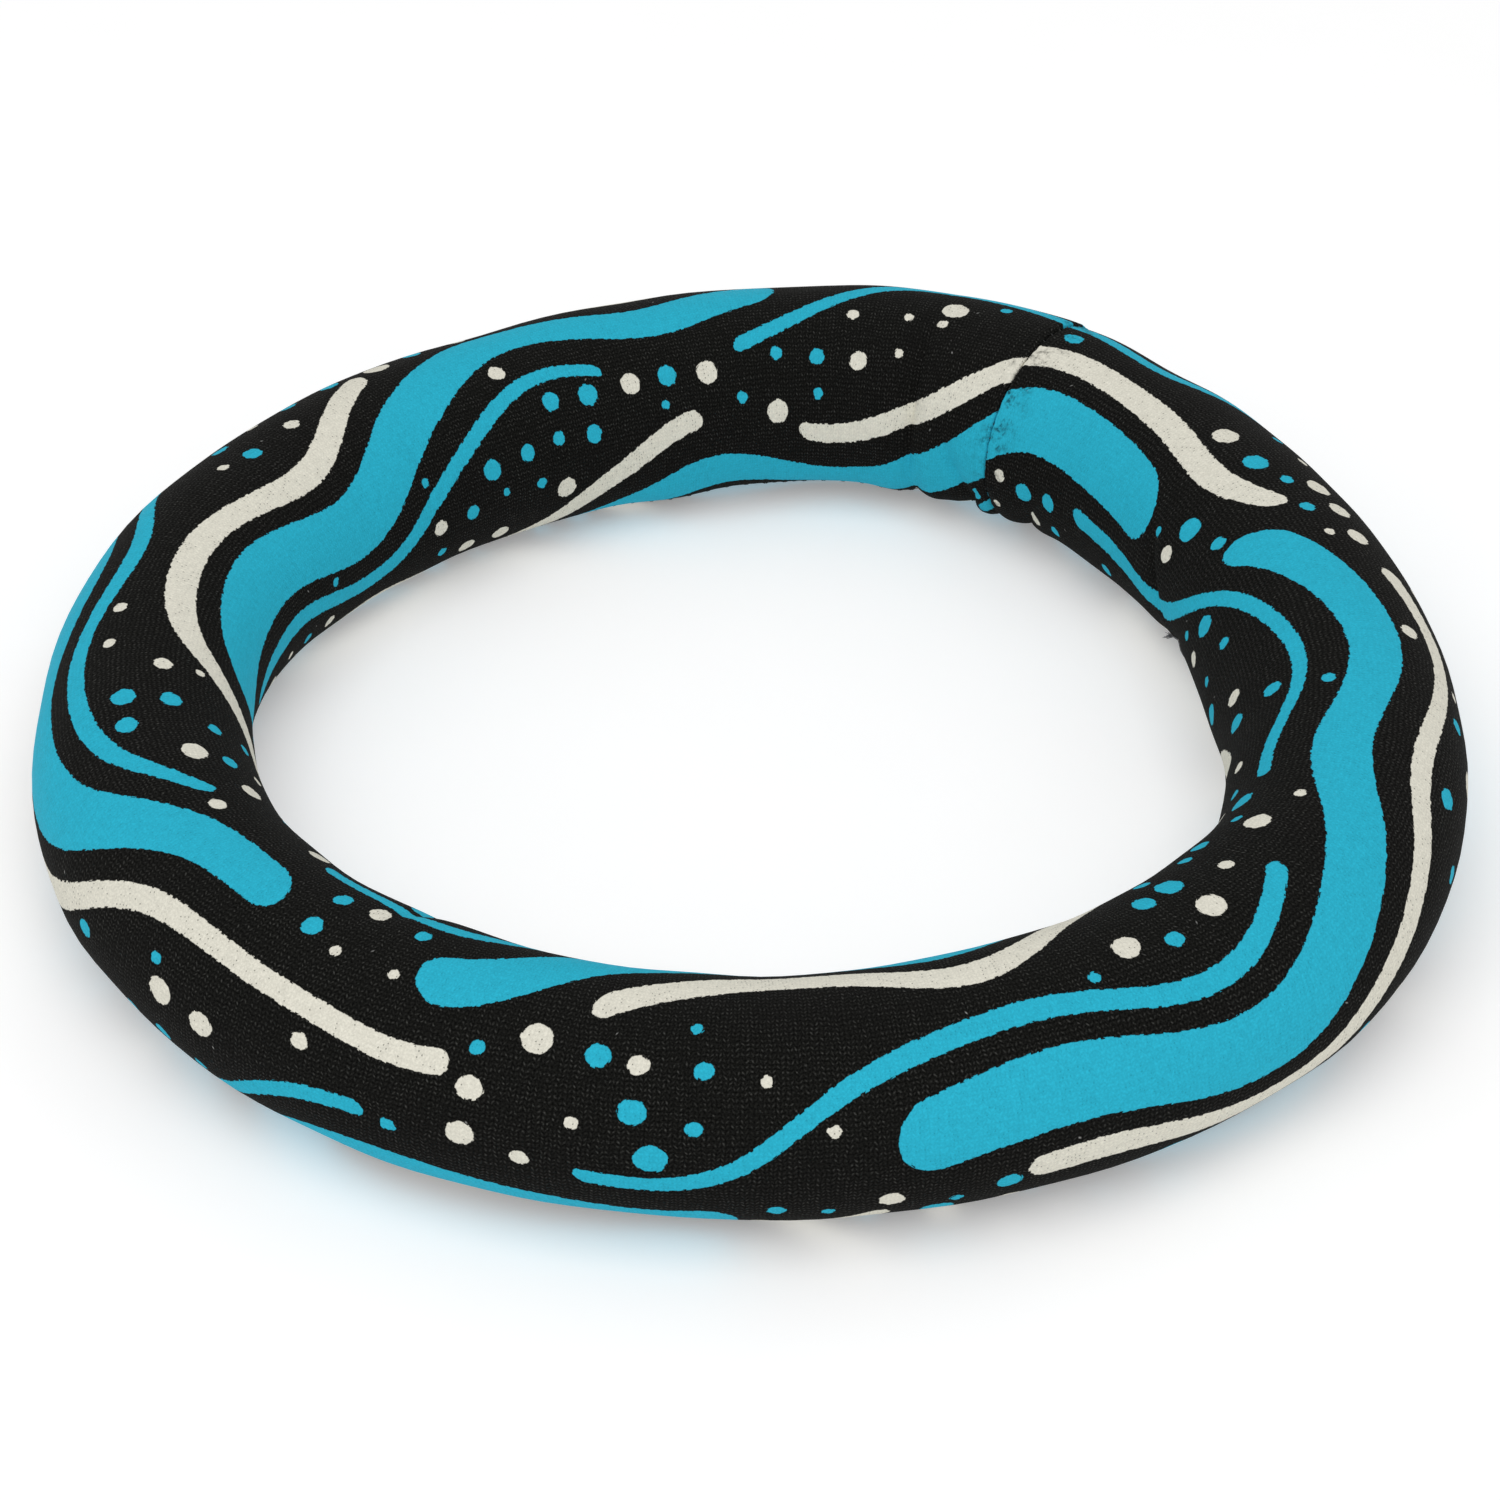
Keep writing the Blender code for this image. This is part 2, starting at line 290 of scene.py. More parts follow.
# %% [markdown]
# ## Cloth blown out between the creases
#
# The foam presses the cloth outward everywhere, and only the creases and the sewing hold it back, so it
# swells between them like a row of small pillows. That is work for a cloth simulation. A patch of the
# surface beside the closure is copied as a grid, enlarged because the solver is made for things the size
# of a flag, pinned along its border and its creases, and blown out by pressure with gravity off. How far
# each point came out is kept, no further than a cap, and the copy is deleted.

# %% Grid of the patch, and where it is held
# Limits of the patch in degrees. Its last row lies along the deep crease
PATCH_ANGLES = (48, 70.3)
PATCH_TURNS = (98, 234)
PATCH_SPACING = 0.8 * MM
# Half the width of the pinned line along a crease, in mm
HELD_WIDTH = 0.45


def patch_axis(limits, radius):
    """Evenly spaced angles between two limits, about PATCH_SPACING apart at this radius."""
    first, last = np.radians(limits)
    return np.linspace(first, last, round((last - first) * radius / PATCH_SPACING) + 1)


def held_points(angle, turn):
    """True on the patch's border and along its creases."""
    held = np.zeros(angle.shape, bool)
    held[[0, -1], :] = True
    held[:, [0, -1]] = True
    for crease in CREASES:
        half_length = crease[3]
        along, across = from_crease(angle, turn, crease)
        held |= (np.abs(across) < HELD_WIDTH) & (np.abs(along) < half_length)
    return held


def grid_quads(index):
    """Quads over a grid of point numbers."""
    quads = np.stack([index[:-1, :-1], index[1:, :-1], index[1:, 1:], index[:-1, 1:]], axis=-1)
    return quads.reshape(-1, 4)


patch_angles = patch_axis(PATCH_ANGLES, RING_RADIUS - TUBE_RADIUS)
patch_turns = patch_axis(PATCH_TURNS, TUBE_RADIUS)
print("patch of", len(patch_angles), "by", len(patch_turns), "points")

# %% Blow the cloth out
PATCH_SCALE = 50
CLOTH_FRAMES = 20
CLOTH_PRESSURE = 45.0
CLOTH_MASS = 0.05


def blow_out(points, held):
    """Where the grid's points go when pressure swells the cloth between the held ones."""
    count = points.shape[0] * points.shape[1]
    index = np.arange(count).reshape(points.shape[:2])
    grid = bpy.data.meshes.new("cloth patch")
    grid.from_pydata((points * PATCH_SCALE).reshape(-1, 3).tolist(), [], grid_quads(index).tolist())
    copy = add_object("cloth patch", grid)
    copy.vertex_groups.new(name="held").add(np.flatnonzero(held).tolist(), 1.0, "REPLACE")
    cloth = copy.modifiers.new("cloth", "CLOTH").settings
    cloth.vertex_group_mass = "held"
    cloth.mass = CLOTH_MASS
    cloth.use_pressure = True
    cloth.uniform_pressure_force = CLOTH_PRESSURE
    cloth.effector_weights.gravity = 0
    scene = bpy.context.scene
    first_frame = scene.frame_current
    for step in range(1, CLOTH_FRAMES + 1):
        scene.frame_set(step)
    settled = copy.evaluated_get(bpy.context.evaluated_depsgraph_get()).data
    moved = np.empty(count * 3, np.float32)
    settled.vertices.foreach_get("co", moved)
    bpy.data.objects.remove(copy)
    bpy.data.meshes.remove(grid)
    scene.frame_set(first_frame)
    print("cloth of", count, "points blown out over", CLOTH_FRAMES, "frames")
    return moved.reshape(points.shape) / PATCH_SCALE


# %% How far the patch swells
SWELL_CAP = 0.9 * MM
# The swelling fades out towards the patch's right and top borders, over these lengths in mm
RIGHT_FADE = 7.0
TOP_FADE = 9.0
# A rest this low leaves the underside round, which gives true directions out of the tube
FAR_BELOW = -1.0


def swell_patch(angles, turns):
    """How far out the cloth comes, as a grid over these ring angles and turns."""
    angle, turn = np.meshgrid(angles, turns, indexing="ij")
    base = tube_points(angle, turn, settled_lift(angle, turn) + crease_lift(angle, turn))
    outward = tube_points(angle, turn, 1.0, FAR_BELOW) - tube_points(angle, turn, 0.0, FAR_BELOW)
    outward /= np.linalg.norm(outward, axis=-1, keepdims=True)
    swell = ((blow_out(base, held_points(angle, turn)) - base) * outward).sum(axis=-1)
    from_right = (angle - angles[0]) * plan_reach(angle, turn) / MM
    from_top = (turn - turns[0]) * TUBE_RADIUS / MM
    fade = 1 - np.exp(-((from_right / RIGHT_FADE) ** 2))
    fade *= 1 - np.exp(-((from_top / TOP_FADE) ** 2))
    return SWELL_CAP * np.tanh(np.maximum(swell, 0) / SWELL_CAP) * fade


patch_swell = np.zeros((len(patch_angles), len(patch_turns)))
patch_swell = swell_patch(patch_angles, patch_turns)
print("the cloth swells by up to", round(patch_swell.max() / MM, 2), "mm")

# %% Read the patch at any place
# A place on the pillow between the closure and the deep crease, as ring angle and turn
PILLOW = np.radians((66, 170))


def grid_place(value, axis):
    """Number of the grid line below value, how far value lies beyond it in steps, and if it is inside."""
    inside = (value >= axis[0]) & (value <= axis[-1])
    steps = (np.clip(value, axis[0], axis[-1]) - axis[0]) / (axis[1] - axis[0])
    line = np.minimum(steps.astype(int), len(axis) - 2)
    return line, steps - line, inside


def swell_lift(angle, turn):
    """How far the cloth is blown out between its creases."""
    angle, turn = np.broadcast_arrays(angle % FULL_TURN, turn % FULL_TURN)
    row, past_row, in_row = grid_place(angle, patch_angles)
    column, past_column, in_column = grid_place(turn, patch_turns)
    near = patch_swell[row, column] * (1 - past_column) + patch_swell[row, column + 1] * past_column
    far = patch_swell[row + 1, column] * (1 - past_column) + patch_swell[row + 1, column + 1] * past_column
    return (near * (1 - past_row) + far * past_row) * (in_row & in_column)


print("the pillow left of the closure stands", round(float(swell_lift(*PILLOW)) / MM, 2), "mm out")

# %% [markdown]
# ## The pull of the sewing
#
# Both ends of the strip are turned in and drawn together edge to edge, but not quite in line: the left end
# sits a little further out and up, so on the hole side the right edge stands proud. Each stitch pulls a
# small dimple into both edges, and the cloth puckers gently behind it. Along the tube, the long seam lies
# in a shallow ditch. All of it is sums of soft bumps again, so it can be added to the lifts above.

# %% Closure and seam
CLOSURE_ANGLE = math.radians(58.4)
SEAM_TURN = math.radians(236)
# How far the two ends are out of line, towards which turn, and over what length that fades
STEP_TURN = math.radians(40)
STEP_LEFT = 0.45 * MM
STEP_LEFT_LENGTH = 9 * MM
STEP_RIGHT = 0.15 * MM
STEP_RIGHT_LENGTH = 5 * MM
# The stitches' dimples and puckers: depth, and length away from the closure
STITCH_PITCH = 2.9 * MM
STITCH_SHARPNESS = 6
DIMPLE_DEPTH = 0.20 * MM
DIMPLE_LENGTH = 1.1 * MM
PUCKER_DEPTH = 0.10 * MM
PUCKER_LENGTH = 4.5 * MM
# The seam's ditch, and the wider pull on both sides of it
SEAM_DITCH_DEPTH = 0.55 * MM
SEAM_DITCH_WIDTH = 0.9 * MM
SEAM_PULL_DEPTH = 0.35 * MM
SEAM_PULL_WIDTH = 4 * MM
# Slow unevenness of the stuffed tube: waves round the ring, waves round the tube, height
UNEVEN = ((7, 2, 0.10 * MM), (13, -3, 0.08 * MM), (23, 1, 0.06 * MM), (31, 4, 0.05 * MM))


def sewing_lift(angle, turn):
    """How the closure, the seam and the stuffing shape the surface."""
    past = signed_angle(angle - CLOSURE_ANGLE) * plan_reach(angle, turn)
    from_seam = np.abs(signed_angle(turn - SEAM_TURN)) * TUBE_RADIUS
    around = turn * TUBE_RADIUS
    left = STEP_LEFT * np.exp(-((past / STEP_LEFT_LENGTH) ** 2)) * (past > 0)
    right = STEP_RIGHT * np.exp(-((past / STEP_RIGHT_LENGTH) ** 2)) * (past <= 0)
    step = (left - right) * np.cos(turn - STEP_TURN)
    stitch = np.cos(math.pi * around / STITCH_PITCH) ** STITCH_SHARPNESS
    dimple = -DIMPLE_DEPTH * stitch * np.exp(-((past / DIMPLE_LENGTH) ** 2))
    pucker = -PUCKER_DEPTH * stitch * np.exp(-((past / PUCKER_LENGTH) ** 2))
    ditch = -SEAM_DITCH_DEPTH * np.exp(-((from_seam / SEAM_DITCH_WIDTH) ** 2))
    pull = -SEAM_PULL_DEPTH * np.exp(-((from_seam / SEAM_PULL_WIDTH) ** 2))
    uneven = sum(high * np.sin(rounds * angle + waves * turn) for rounds, waves, high in UNEVEN)
    return step + dimple + pucker + ditch + pull + uneven


def sleeve_lift(angle, turn):
    """How far the sleeve's face stands out from the plain tube."""
    shaped = settled_lift(angle, turn) + crease_lift(angle, turn) + swell_lift(angle, turn)
    return shaped + sewing_lift(angle, turn)


seam_lift = sleeve_lift(plan_angles, np.full(PLAN_STEPS, SEAM_TURN))
print("the seam lies", round(-seam_lift.mean() / MM, 2), "mm below the plain tube")

# %% [markdown]
# ## The sleeve
#
# The sleeve is one strip, so it is modelled as one grid: rows across the strip, one after another round
# the ring, and columns along it from one edge of the seam to the other. A plain tube with a bump texture
# would be quicker, but it would have no hems, no seam and no thickness. Rows lie close together where the
# cloth is creased and further apart where it is smooth. At both ends the rows go on round the lip of the
# hem and back inside it.

# %% Rows along the strip
STRIP_LENGTH = FULL_TURN * RING_RADIUS
FIRST_ROW = 1.9 * MM
ROW_SPACING = 4 * MM
# Creased stretches, as ring angles in degrees, with the row spacing that they need
CREASED = (
    (8, 80, 1.3 * MM),
    (17, 30, 0.6 * MM),
    (48, 74, 0.6 * MM),
    (131, 149, 1.3 * MM),
    (230, 240, 1.3 * MM),
)
CLOSURE_STRETCH = 9 * MM
CLOSURE_SPACING = 0.55 * MM
# Places along the strip at which the spacing is looked up
RUN_SAMPLES = 8000


def body_rows():
    """Distances along the strip from the closure, closer together where the cloth is creased."""
    run = np.linspace(FIRST_ROW, STRIP_LENGTH - FIRST_ROW, RUN_SAMPLES)
    degrees = np.degrees(run / RING_RADIUS + CLOSURE_ANGLE) % 360
    spacing = np.full(run.shape, ROW_SPACING)
    for first, last, close in CREASED:
        spacing = np.where((degrees > first) & (degrees < last), close, spacing)
    from_closure = np.minimum(run, STRIP_LENGTH - run)
    spacing = np.where(from_closure < CLOSURE_STRETCH, CLOSURE_SPACING, spacing)
    count = np.concatenate([[0], np.cumsum(np.diff(run) / spacing[1:])])
    return np.interp(np.linspace(0, count[-1], round(count[-1]) + 1), count, run)


rows = body_rows()
print(len(rows), "rows")

# %% The fold at each end
LIP_RADIUS = 0.55 * MM
LIP_STEPS = 5
CLOSURE_GAP = 0.14 * MM
HEM_DEPTH = 4.2 * MM
HEM_TURN_IN = 8 * MM
HEM_LEAF_ROWS = 4


def hem_path(thickness):
    """The fold at one end, as (along, depth) from the outer wall round the lip to the turned-in leaf."""
    edge = CLOSURE_GAP / 2 + thickness
    radius = LIP_RADIUS - thickness
    middle = CLOSURE_GAP / 2 + LIP_RADIUS
    swing = np.linspace(0, math.pi / 2, LIP_STEPS)
    over = np.column_stack([middle - radius * np.sin(swing), LIP_RADIUS - radius * np.cos(swing)])
    under_depth = HEM_DEPTH - LIP_RADIUS + radius * np.sin(swing)
    under = np.column_stack([middle - radius * np.cos(swing), under_depth])
    share = np.arange(1, HEM_LEAF_ROWS + 1) / HEM_LEAF_ROWS
    leaf_depth = np.full(HEM_LEAF_ROWS, HEM_DEPTH - thickness)
    leaf = np.column_stack([edge + (HEM_TURN_IN - edge) * share, leaf_depth])
    return np.concatenate([over, under, leaf])


print(len(hem_path(0)), "rows in each hem")

# %% Columns across the strip
SEAM_GAP = 0.3 * MM
STRIP_WIDTH = FULL_TURN * TUBE_RADIUS
COLUMN_SPACING = 1.0 * MM
# Distances of the first columns from the edge of the strip, where it rolls into the seam
EDGE_COLUMNS = (0, 0.25 * MM, 0.55 * MM, 0.95 * MM, 1.5 * MM, 2.2 * MM)


def strip_turns():
    """Turns round the tube, from one edge of the strip to the other."""
    first = SEAM_GAP / 2 + EDGE_COLUMNS[-1]
    count = round((STRIP_WIDTH - 2 * first) / COLUMN_SPACING)
    inner = np.linspace(first, STRIP_WIDTH - first, count + 1)
    edge = SEAM_GAP / 2 + np.array(EDGE_COLUMNS[:-1])
    return SEAM_TURN + np.concatenate([edge, inner, STRIP_WIDTH - edge[::-1]]) / TUBE_RADIUS


turns = strip_turns()
print(len(turns), "columns")

# %% Both faces of the strip
SLEEVE_THICKNESS = 2 * MM
# The cloth is drawn thin at the lips, and comes back to its thickness over this length
LIP_THICKNESS = 0.4 * MM
LIP_TAPER = 5 * MM
# Under a deep crease the cloth is squeezed against the core, down to its thinnest
CORE_GAP = 0.3 * MM
CORE_DEPTH = SLEEVE_THICKNESS + CORE_GAP
THINNEST = 0.1 * MM


def pressed(lift, depth):
    """Lift of a layer that lies depth below the face: it stops at the core, and never passes the face."""
    return np.minimum(np.maximum(lift - depth, -CORE_DEPTH), lift - min(depth, THINNEST))


def skin(thickness_share):
    """Grid of points on the strip's face (0) or its back (1), with each row's place along the strip."""
    back_path = hem_path(thickness_share * LIP_THICKNESS)
    steps = np.hypot(*np.diff(hem_path(0), axis=0).T)
    gone = np.concatenate([[0], np.cumsum(steps)])
    grid = []
    places = []
    for (along, depth), far in zip(back_path[::-1], gone[::-1]):
        angle = CLOSURE_ANGLE + along / plan_reach(CLOSURE_ANGLE, turns)
        grid.append(tube_points(angle, turns, sleeve_lift(angle, turns) - depth, depth))
        places.append(FIRST_ROW / 2 - far)
    for run in rows:
        angle = CLOSURE_ANGLE + run / RING_RADIUS
        from_lip = min(run, STRIP_LENGTH - run) - FIRST_ROW
        taper = 1 - math.exp(-((from_lip / LIP_TAPER) ** 2))
        depth = thickness_share * (LIP_THICKNESS + (SLEEVE_THICKNESS - LIP_THICKNESS) * taper)
        grid.append(tube_points(angle, turns, pressed(sleeve_lift(angle, turns), depth), depth))
        places.append(run)
    for (along, depth), far in zip(back_path, gone):
        angle = CLOSURE_ANGLE + FULL_TURN - along / plan_reach(CLOSURE_ANGLE, turns)
        grid.append(tube_points(angle, turns, sleeve_lift(angle, turns) - depth, depth))
        places.append(STRIP_LENGTH - FIRST_ROW / 2 + far)
    return np.array(grid), np.array(places)


face_grid, row_places = skin(0)
back_grid, _ = skin(1)
print("strip of", face_grid.shape[0], "by", face_grid.shape[1], "points on each face")

# %% [markdown]
# The face and the back are joined along the four edges of the strip, which makes one closed shell. Every
# corner gets two sets of flat coordinates. *strip* is the place on the flat strip in millimetres, for the
# knit and the print. The back lies far off that strip, so that it stays bare. *OFBake* is a layout for
# baked pictures: the long strip is cut in two halves that lie one above the other, and the back and the
# edges share a narrow band above them.

# %% Build the shell
row_count, column_count = face_grid.shape[:2]
face_index = np.arange(row_count * column_count).reshape(row_count, column_count)
back_index = face_index + row_count * column_count


def rim_quads(front, rear):
    """Quads between one edge of the face and the same edge of the back."""
    return np.stack([front[:-1], front[1:], rear[1:], rear[:-1]], axis=-1)


face_quads = grid_quads(face_index)
hidden_quads = np.concatenate([
    grid_quads(back_index)[:, ::-1],
    rim_quads(face_index[0], back_index[0]),
    rim_quads(face_index[-1][::-1], back_index[-1][::-1]),
    rim_quads(face_index[:, 0][::-1], back_index[:, 0][::-1]),
    rim_quads(face_index[:, -1], back_index[:, -1]),
])
shell_points = np.concatenate([face_grid.reshape(-1, 3), back_grid.reshape(-1, 3)])
shell_quads = np.concatenate([face_quads, hidden_quads])
mesh = bpy.data.meshes.new("neoprene_sleeve_knit")
mesh.from_pydata(shell_points.tolist(), [], shell_quads.tolist())
print(len(shell_points), "points and", len(shell_quads), "faces")

# %% Places on the flat strip
# How far to the side of the strip its back lies, in mm
BACK_OFFSET = 500.0


def set_map(name, u, v):
    """New layer of flat coordinates, one pair for each corner of each face."""
    layer = mesh.uv_layers.new(name=name)
    layer.uv.foreach_set("vector", np.stack([u, v], axis=-1).ravel())


strip_u = np.repeat(row_places, column_count) / MM
strip_v = np.tile((turns - SEAM_TURN) * TUBE_RADIUS, row_count) / MM
place_u = np.concatenate([strip_u, strip_u])
place_v = np.concatenate([strip_v, strip_v + BACK_OFFSET])
corners = shell_quads.reshape(-1)
set_map("strip", place_u[corners], place_v[corners])
print("strip", round(strip_u.max() - strip_u.min()), "by", round(strip_v.max()), "mm")

# %% Layout for baked pictures
HALF_HEIGHT = 0.47
HALF_STEP = 0.485
BACK_BAND = (0.965, 1.0)

first_place, last_place = row_places[[0, -1]] / MM
half_row = int(np.searchsorted(row_places / MM, (first_place + last_place) / 2))
half_place = row_places[half_row] / MM
longest = max(half_place - first_place, last_place - half_place)
second_half = np.repeat(face_quads[:, 0] // column_count >= half_row, 4)
face_corners = face_quads.reshape(-1)
bake_u = (place_u[face_corners] - np.where(second_half, half_place, first_place)) / longest
bake_v = place_v[face_corners] / (STRIP_WIDTH / MM) * HALF_HEIGHT + second_half * HALF_STEP
hidden_corners = hidden_quads.reshape(-1)
hidden_u = (place_u[hidden_corners] - first_place) / (last_place - first_place)
hidden_v = (place_v[hidden_corners] % BACK_OFFSET) / (STRIP_WIDTH / MM)
hidden_v = BACK_BAND[0] + hidden_v * (BACK_BAND[1] - BACK_BAND[0])
set_map("OFBake", np.concatenate([bake_u, hidden_u]), np.concatenate([bake_v, hidden_v]))
mesh.uv_layers.active = mesh.uv_layers["strip"]
print("layers:", ", ".join(layer.name for layer in mesh.uv_layers))

# %% The sleeve as an object
SHARP_EDGE = math.radians(60)

mesh.shade_smooth()
mesh.set_sharp_from_angle(angle=SHARP_EDGE)
mesh.validate()
sleeve = add_object("sleeve", mesh)
print(sleeve.name, "of", len(mesh.polygons), "faces")

# %% [markdown]
# ## Small tools for materials
#
# Materials are trees of nodes. They could be wired by hand in the editor, but then nobody could read why.
# These helpers add one or two nodes each, so that the recipes below read as sums.

# %% Sums and blends
FLOAT = "NodeSocketFloat"
VECTOR = "NodeSocketVector"


def feed(tree, socket, value):
    """Links value to the socket where it is another socket, and sets it where it is a number."""
    if isinstance(value, bpy.types.NodeSocket):
        tree.links.new(value, socket)
    else:
        socket.default_value = value


def maths(tree, operation, *values):
    """Result of a sum on numbers."""
    made = tree.nodes.new("ShaderNodeMath")
    made.operation = operation
    for socket, value in zip(made.inputs, values):
        feed(tree, socket, value)
    return made.outputs[0]


def vector_maths(tree, operation, *values, output="Vector"):
    """Result of a sum on places or colours."""
    made = tree.nodes.new("ShaderNodeVectorMath")
    made.operation = operation
    for socket, value in zip(made.inputs, values):
        feed(tree, socket, value)
    return made.outputs[output]


def ramp(tree, value, low, high, out_low=0.0, out_high=1.0):
    """Value from low to high, stretched to out_low to out_high and held at both ends."""
    made = tree.nodes.new("ShaderNodeMapRange")
    for socket, given in zip(made.inputs, (value, low, high, out_low, out_high)):
        feed(tree, socket, given)
    return made.outputs["Result"]


def between(tree, share, low, high):
    """Low where share is 0, and high where it is 1."""
    return ramp(tree, share, 0.0, 1.0, low, high)


def blend(tree, share, under, over):
    """Colour under, covered by colour over as far as share says."""
    made = tree.nodes.new("ShaderNodeMix")
    made.data_type = "RGBA"
    colours = [socket for socket in made.inputs if socket.type == "RGBA"]
    feed(tree, made.inputs["Factor"], share)
    feed(tree, colours[0], under)
    feed(tree, colours[1], over)
    return next(socket for socket in made.outputs if socket.type == "RGBA")


def tint(tree, colour, shade):
    """Colour made lighter or darker by a factor."""
    made = tree.nodes.new("ShaderNodeVectorMath")
    made.operation = "SCALE"
    feed(tree, made.inputs[0], colour)
    feed(tree, made.inputs["Scale"], shade)
    return made.outputs[0]


print("helpers for sums and blends")

# %% Places and noise


def object_place(tree):
    """Place in the object's own space, in metres."""
    return tree.nodes.new("ShaderNodeTexCoord").outputs["Object"]


def split(tree, vector):
    """The three numbers of a place."""
    made = tree.nodes.new("ShaderNodeSeparateXYZ")
    feed(tree, made.inputs[0], vector)
    return made.outputs


def join(tree, x, y):
    """A flat place from two numbers."""
    made = tree.nodes.new("ShaderNodeCombineXYZ")
    feed(tree, made.inputs[0], x)
    feed(tree, made.inputs[1], y)
    return made.outputs[0]


def noise(tree, vector, scale, detail=2.0, output="Fac"):
    """Soft random mottle."""
    made = tree.nodes.new("ShaderNodeTexNoise")
    feed(tree, made.inputs["Vector"], vector)
    made.inputs["Scale"].default_value = scale
    made.inputs["Detail"].default_value = detail
    return made.outputs[output]


def patches(tree, vector, scale, detail, *stretch):
    """Soft random mottle, stretched as ramp says."""
    return ramp(tree, noise(tree, vector, scale, detail), *stretch)


def white_noise(tree, vector):
    """A random number and a random colour, each the same wherever the place is the same."""
    made = tree.nodes.new("ShaderNodeTexWhiteNoise")
    made.noise_dimensions = "2D"
    feed(tree, made.inputs["Vector"], vector)
    return made.outputs


def shift(tree, colour, reach):
    """A random colour as a step to any side, up to half of reach each way."""
    middle = vector_maths(tree, "SUBTRACT", colour, (0.5, 0.5, 0.5))
    return vector_maths(tree, "MULTIPLY", middle, (reach, reach, reach))


print("helpers for places and noise")

# %% Groups, materials and relief


def new_group(name, inputs, outputs):
    """Empty node group with these sockets; returns its tree, what it is given and what it gives."""
    tree = bpy.data.node_groups.new(name, "ShaderNodeTree")
    for socket, kind in inputs.items():
        tree.interface.new_socket(socket, in_out="INPUT", socket_type=kind)
    for socket, kind in outputs.items():
        tree.interface.new_socket(socket, in_out="OUTPUT", socket_type=kind)
    given = tree.nodes.new("NodeGroupInput").outputs
    gives = tree.nodes.new("NodeGroupOutput").inputs
    return tree, given, gives


def use_group(tree, group, **values):
    """Places a node group and feeds it; an underscore in a name stands for a space."""
    made = tree.nodes.new("ShaderNodeGroup")
    made.node_tree = group
    for name, value in values.items():
        feed(tree, made.inputs[name.replace("_", " ")], value)
    return made.outputs


def new_material(name):
    """Material with a Principled BSDF; returns it, its tree and the shader's inputs."""
    made = bpy.data.materials.new(name)
    made.use_nodes = True
    return made, made.node_tree, made.node_tree.nodes["Principled BSDF"].inputs


def bump(tree, height, distance):
    """Normal of a surface with this relief, where a height of 1 stands distance high."""
    made = tree.nodes.new("ShaderNodeBump")
    feed(tree, made.inputs["Height"], height)
    made.inputs["Strength"].default_value = 1.0
    made.inputs["Distance"].default_value = distance
    return made.outputs["Normal"]


print("helpers for groups, materials and relief")

# %% [markdown]
# ## Knit
#
# The face of the neoprene is a fine jersey. Each loop shows two slanting legs, and the loops stand in
# columns. There are some seventy thousand of them, too many to model, and a picture of a few would show
# its repeat. So a group of nodes works out, for any place on the strip, how high the yarn stands there.
# One leg of each loop is drawn dimmer than the other: painted shade, as if the light fell from one side.
# Each leg and each gap beside a leg has a random number of its own, because no two catch the light alike,
# and the columns wander a little.

# %% Knit group
# Sizes in mm on the flat strip
LOOP_WIDTH = 1.32
LOOP_HEIGHT = 0.88
PINHOLE_RADIUS = 0.12
PINHOLE_SOFTNESS = 0.3
# How far a leg slants over its width, in loop heights
LOOP_SLANT = 0.6
# How far the columns wander at most from side to side, in mm, and the noise scale of that
LOOP_WANDER = 1.4
WANDER_SCALE = 0.22
CREST_SHARPNESS = 2.6
# Painted shade: brightness of the leg on the shaded side, as if the light fell from one side
DIM_LEG = 0.7


def knit_group():
    values = ("Height", "Crest", "Leg", "Gap", "Hole")
    outputs = {**{name: FLOAT for name in values}, "Jitter": VECTOR}
    tree, given, gives = new_group("jersey knit", {"Strip": VECTOR}, outputs)
    m = partial(maths, tree)
    wander = shift(tree, noise(tree, given["Strip"], WANDER_SCALE, 1.0, "Color"), LOOP_WANDER)
    place = split(tree, vector_maths(tree, "ADD", given["Strip"], wander))

    # Side is 0 in the middle of a loop and 1 at its edges; a leg lies halfway between
    across = m("DIVIDE", place["X"], LOOP_WIDTH)
    side = m("ABSOLUTE", m("SUBTRACT", m("MULTIPLY", m("FRACT", across), 2.0), 1.0))
    along = m("ADD", m("DIVIDE", place["Y"], LOOP_HEIGHT), m("MULTIPLY", side, LOOP_SLANT))
    leg = m("MAXIMUM", m("SINE", m("MULTIPLY", side, math.pi)), 0.0)
    step = m("COSINE", m("MULTIPLY", m("SUBTRACT", along, 0.5), FULL_TURN))
    height = m("MULTIPLY", leg, m("ADD", 0.5, m("MULTIPLY", step, 0.5)))
    feed(tree, gives["Height"], height)
    # Painted shade: one leg of each loop is dimmed, as if the light fell from one side
    bright = between(tree, m("GREATER_THAN", m("FRACT", across), 0.5), DIM_LEG, 1.0)
    feed(tree, gives["Crest"], m("MULTIPLY", m("POWER", height, CREST_SHARPNESS), bright))

    # A gap is a dot between two legs
    off_x = m("MULTIPLY", m("MINIMUM", side, m("SUBTRACT", 1.0, side)), LOOP_WIDTH / 2)
    off_y = m("MULTIPLY", m("SUBTRACT", m("FRACT", along), 0.5), LOOP_HEIGHT)
    off = m("SQRT", m("ADD", m("MULTIPLY", off_x, off_x), m("MULTIPLY", off_y, off_y)))
    outside = PINHOLE_RADIUS * (1 + PINHOLE_SOFTNESS)
    inside = PINHOLE_RADIUS * (1 - PINHOLE_SOFTNESS)
    feed(tree, gives["Gap"], ramp(tree, off, outside, inside))

    # One random draw for each leg, and one for each gap
    row = m("FLOOR", along)
    legs = m("MULTIPLY", across, 2.0)
    leg_draw = white_noise(tree, join(tree, m("FLOOR", legs), row))
    hole_draw = white_noise(tree, join(tree, m("ROUND", legs), row))
    feed(tree, gives["Leg"], leg_draw["Value"])
    feed(tree, gives["Hole"], hole_draw["Value"])
    feed(tree, gives["Jitter"], leg_draw["Color"])
    return tree


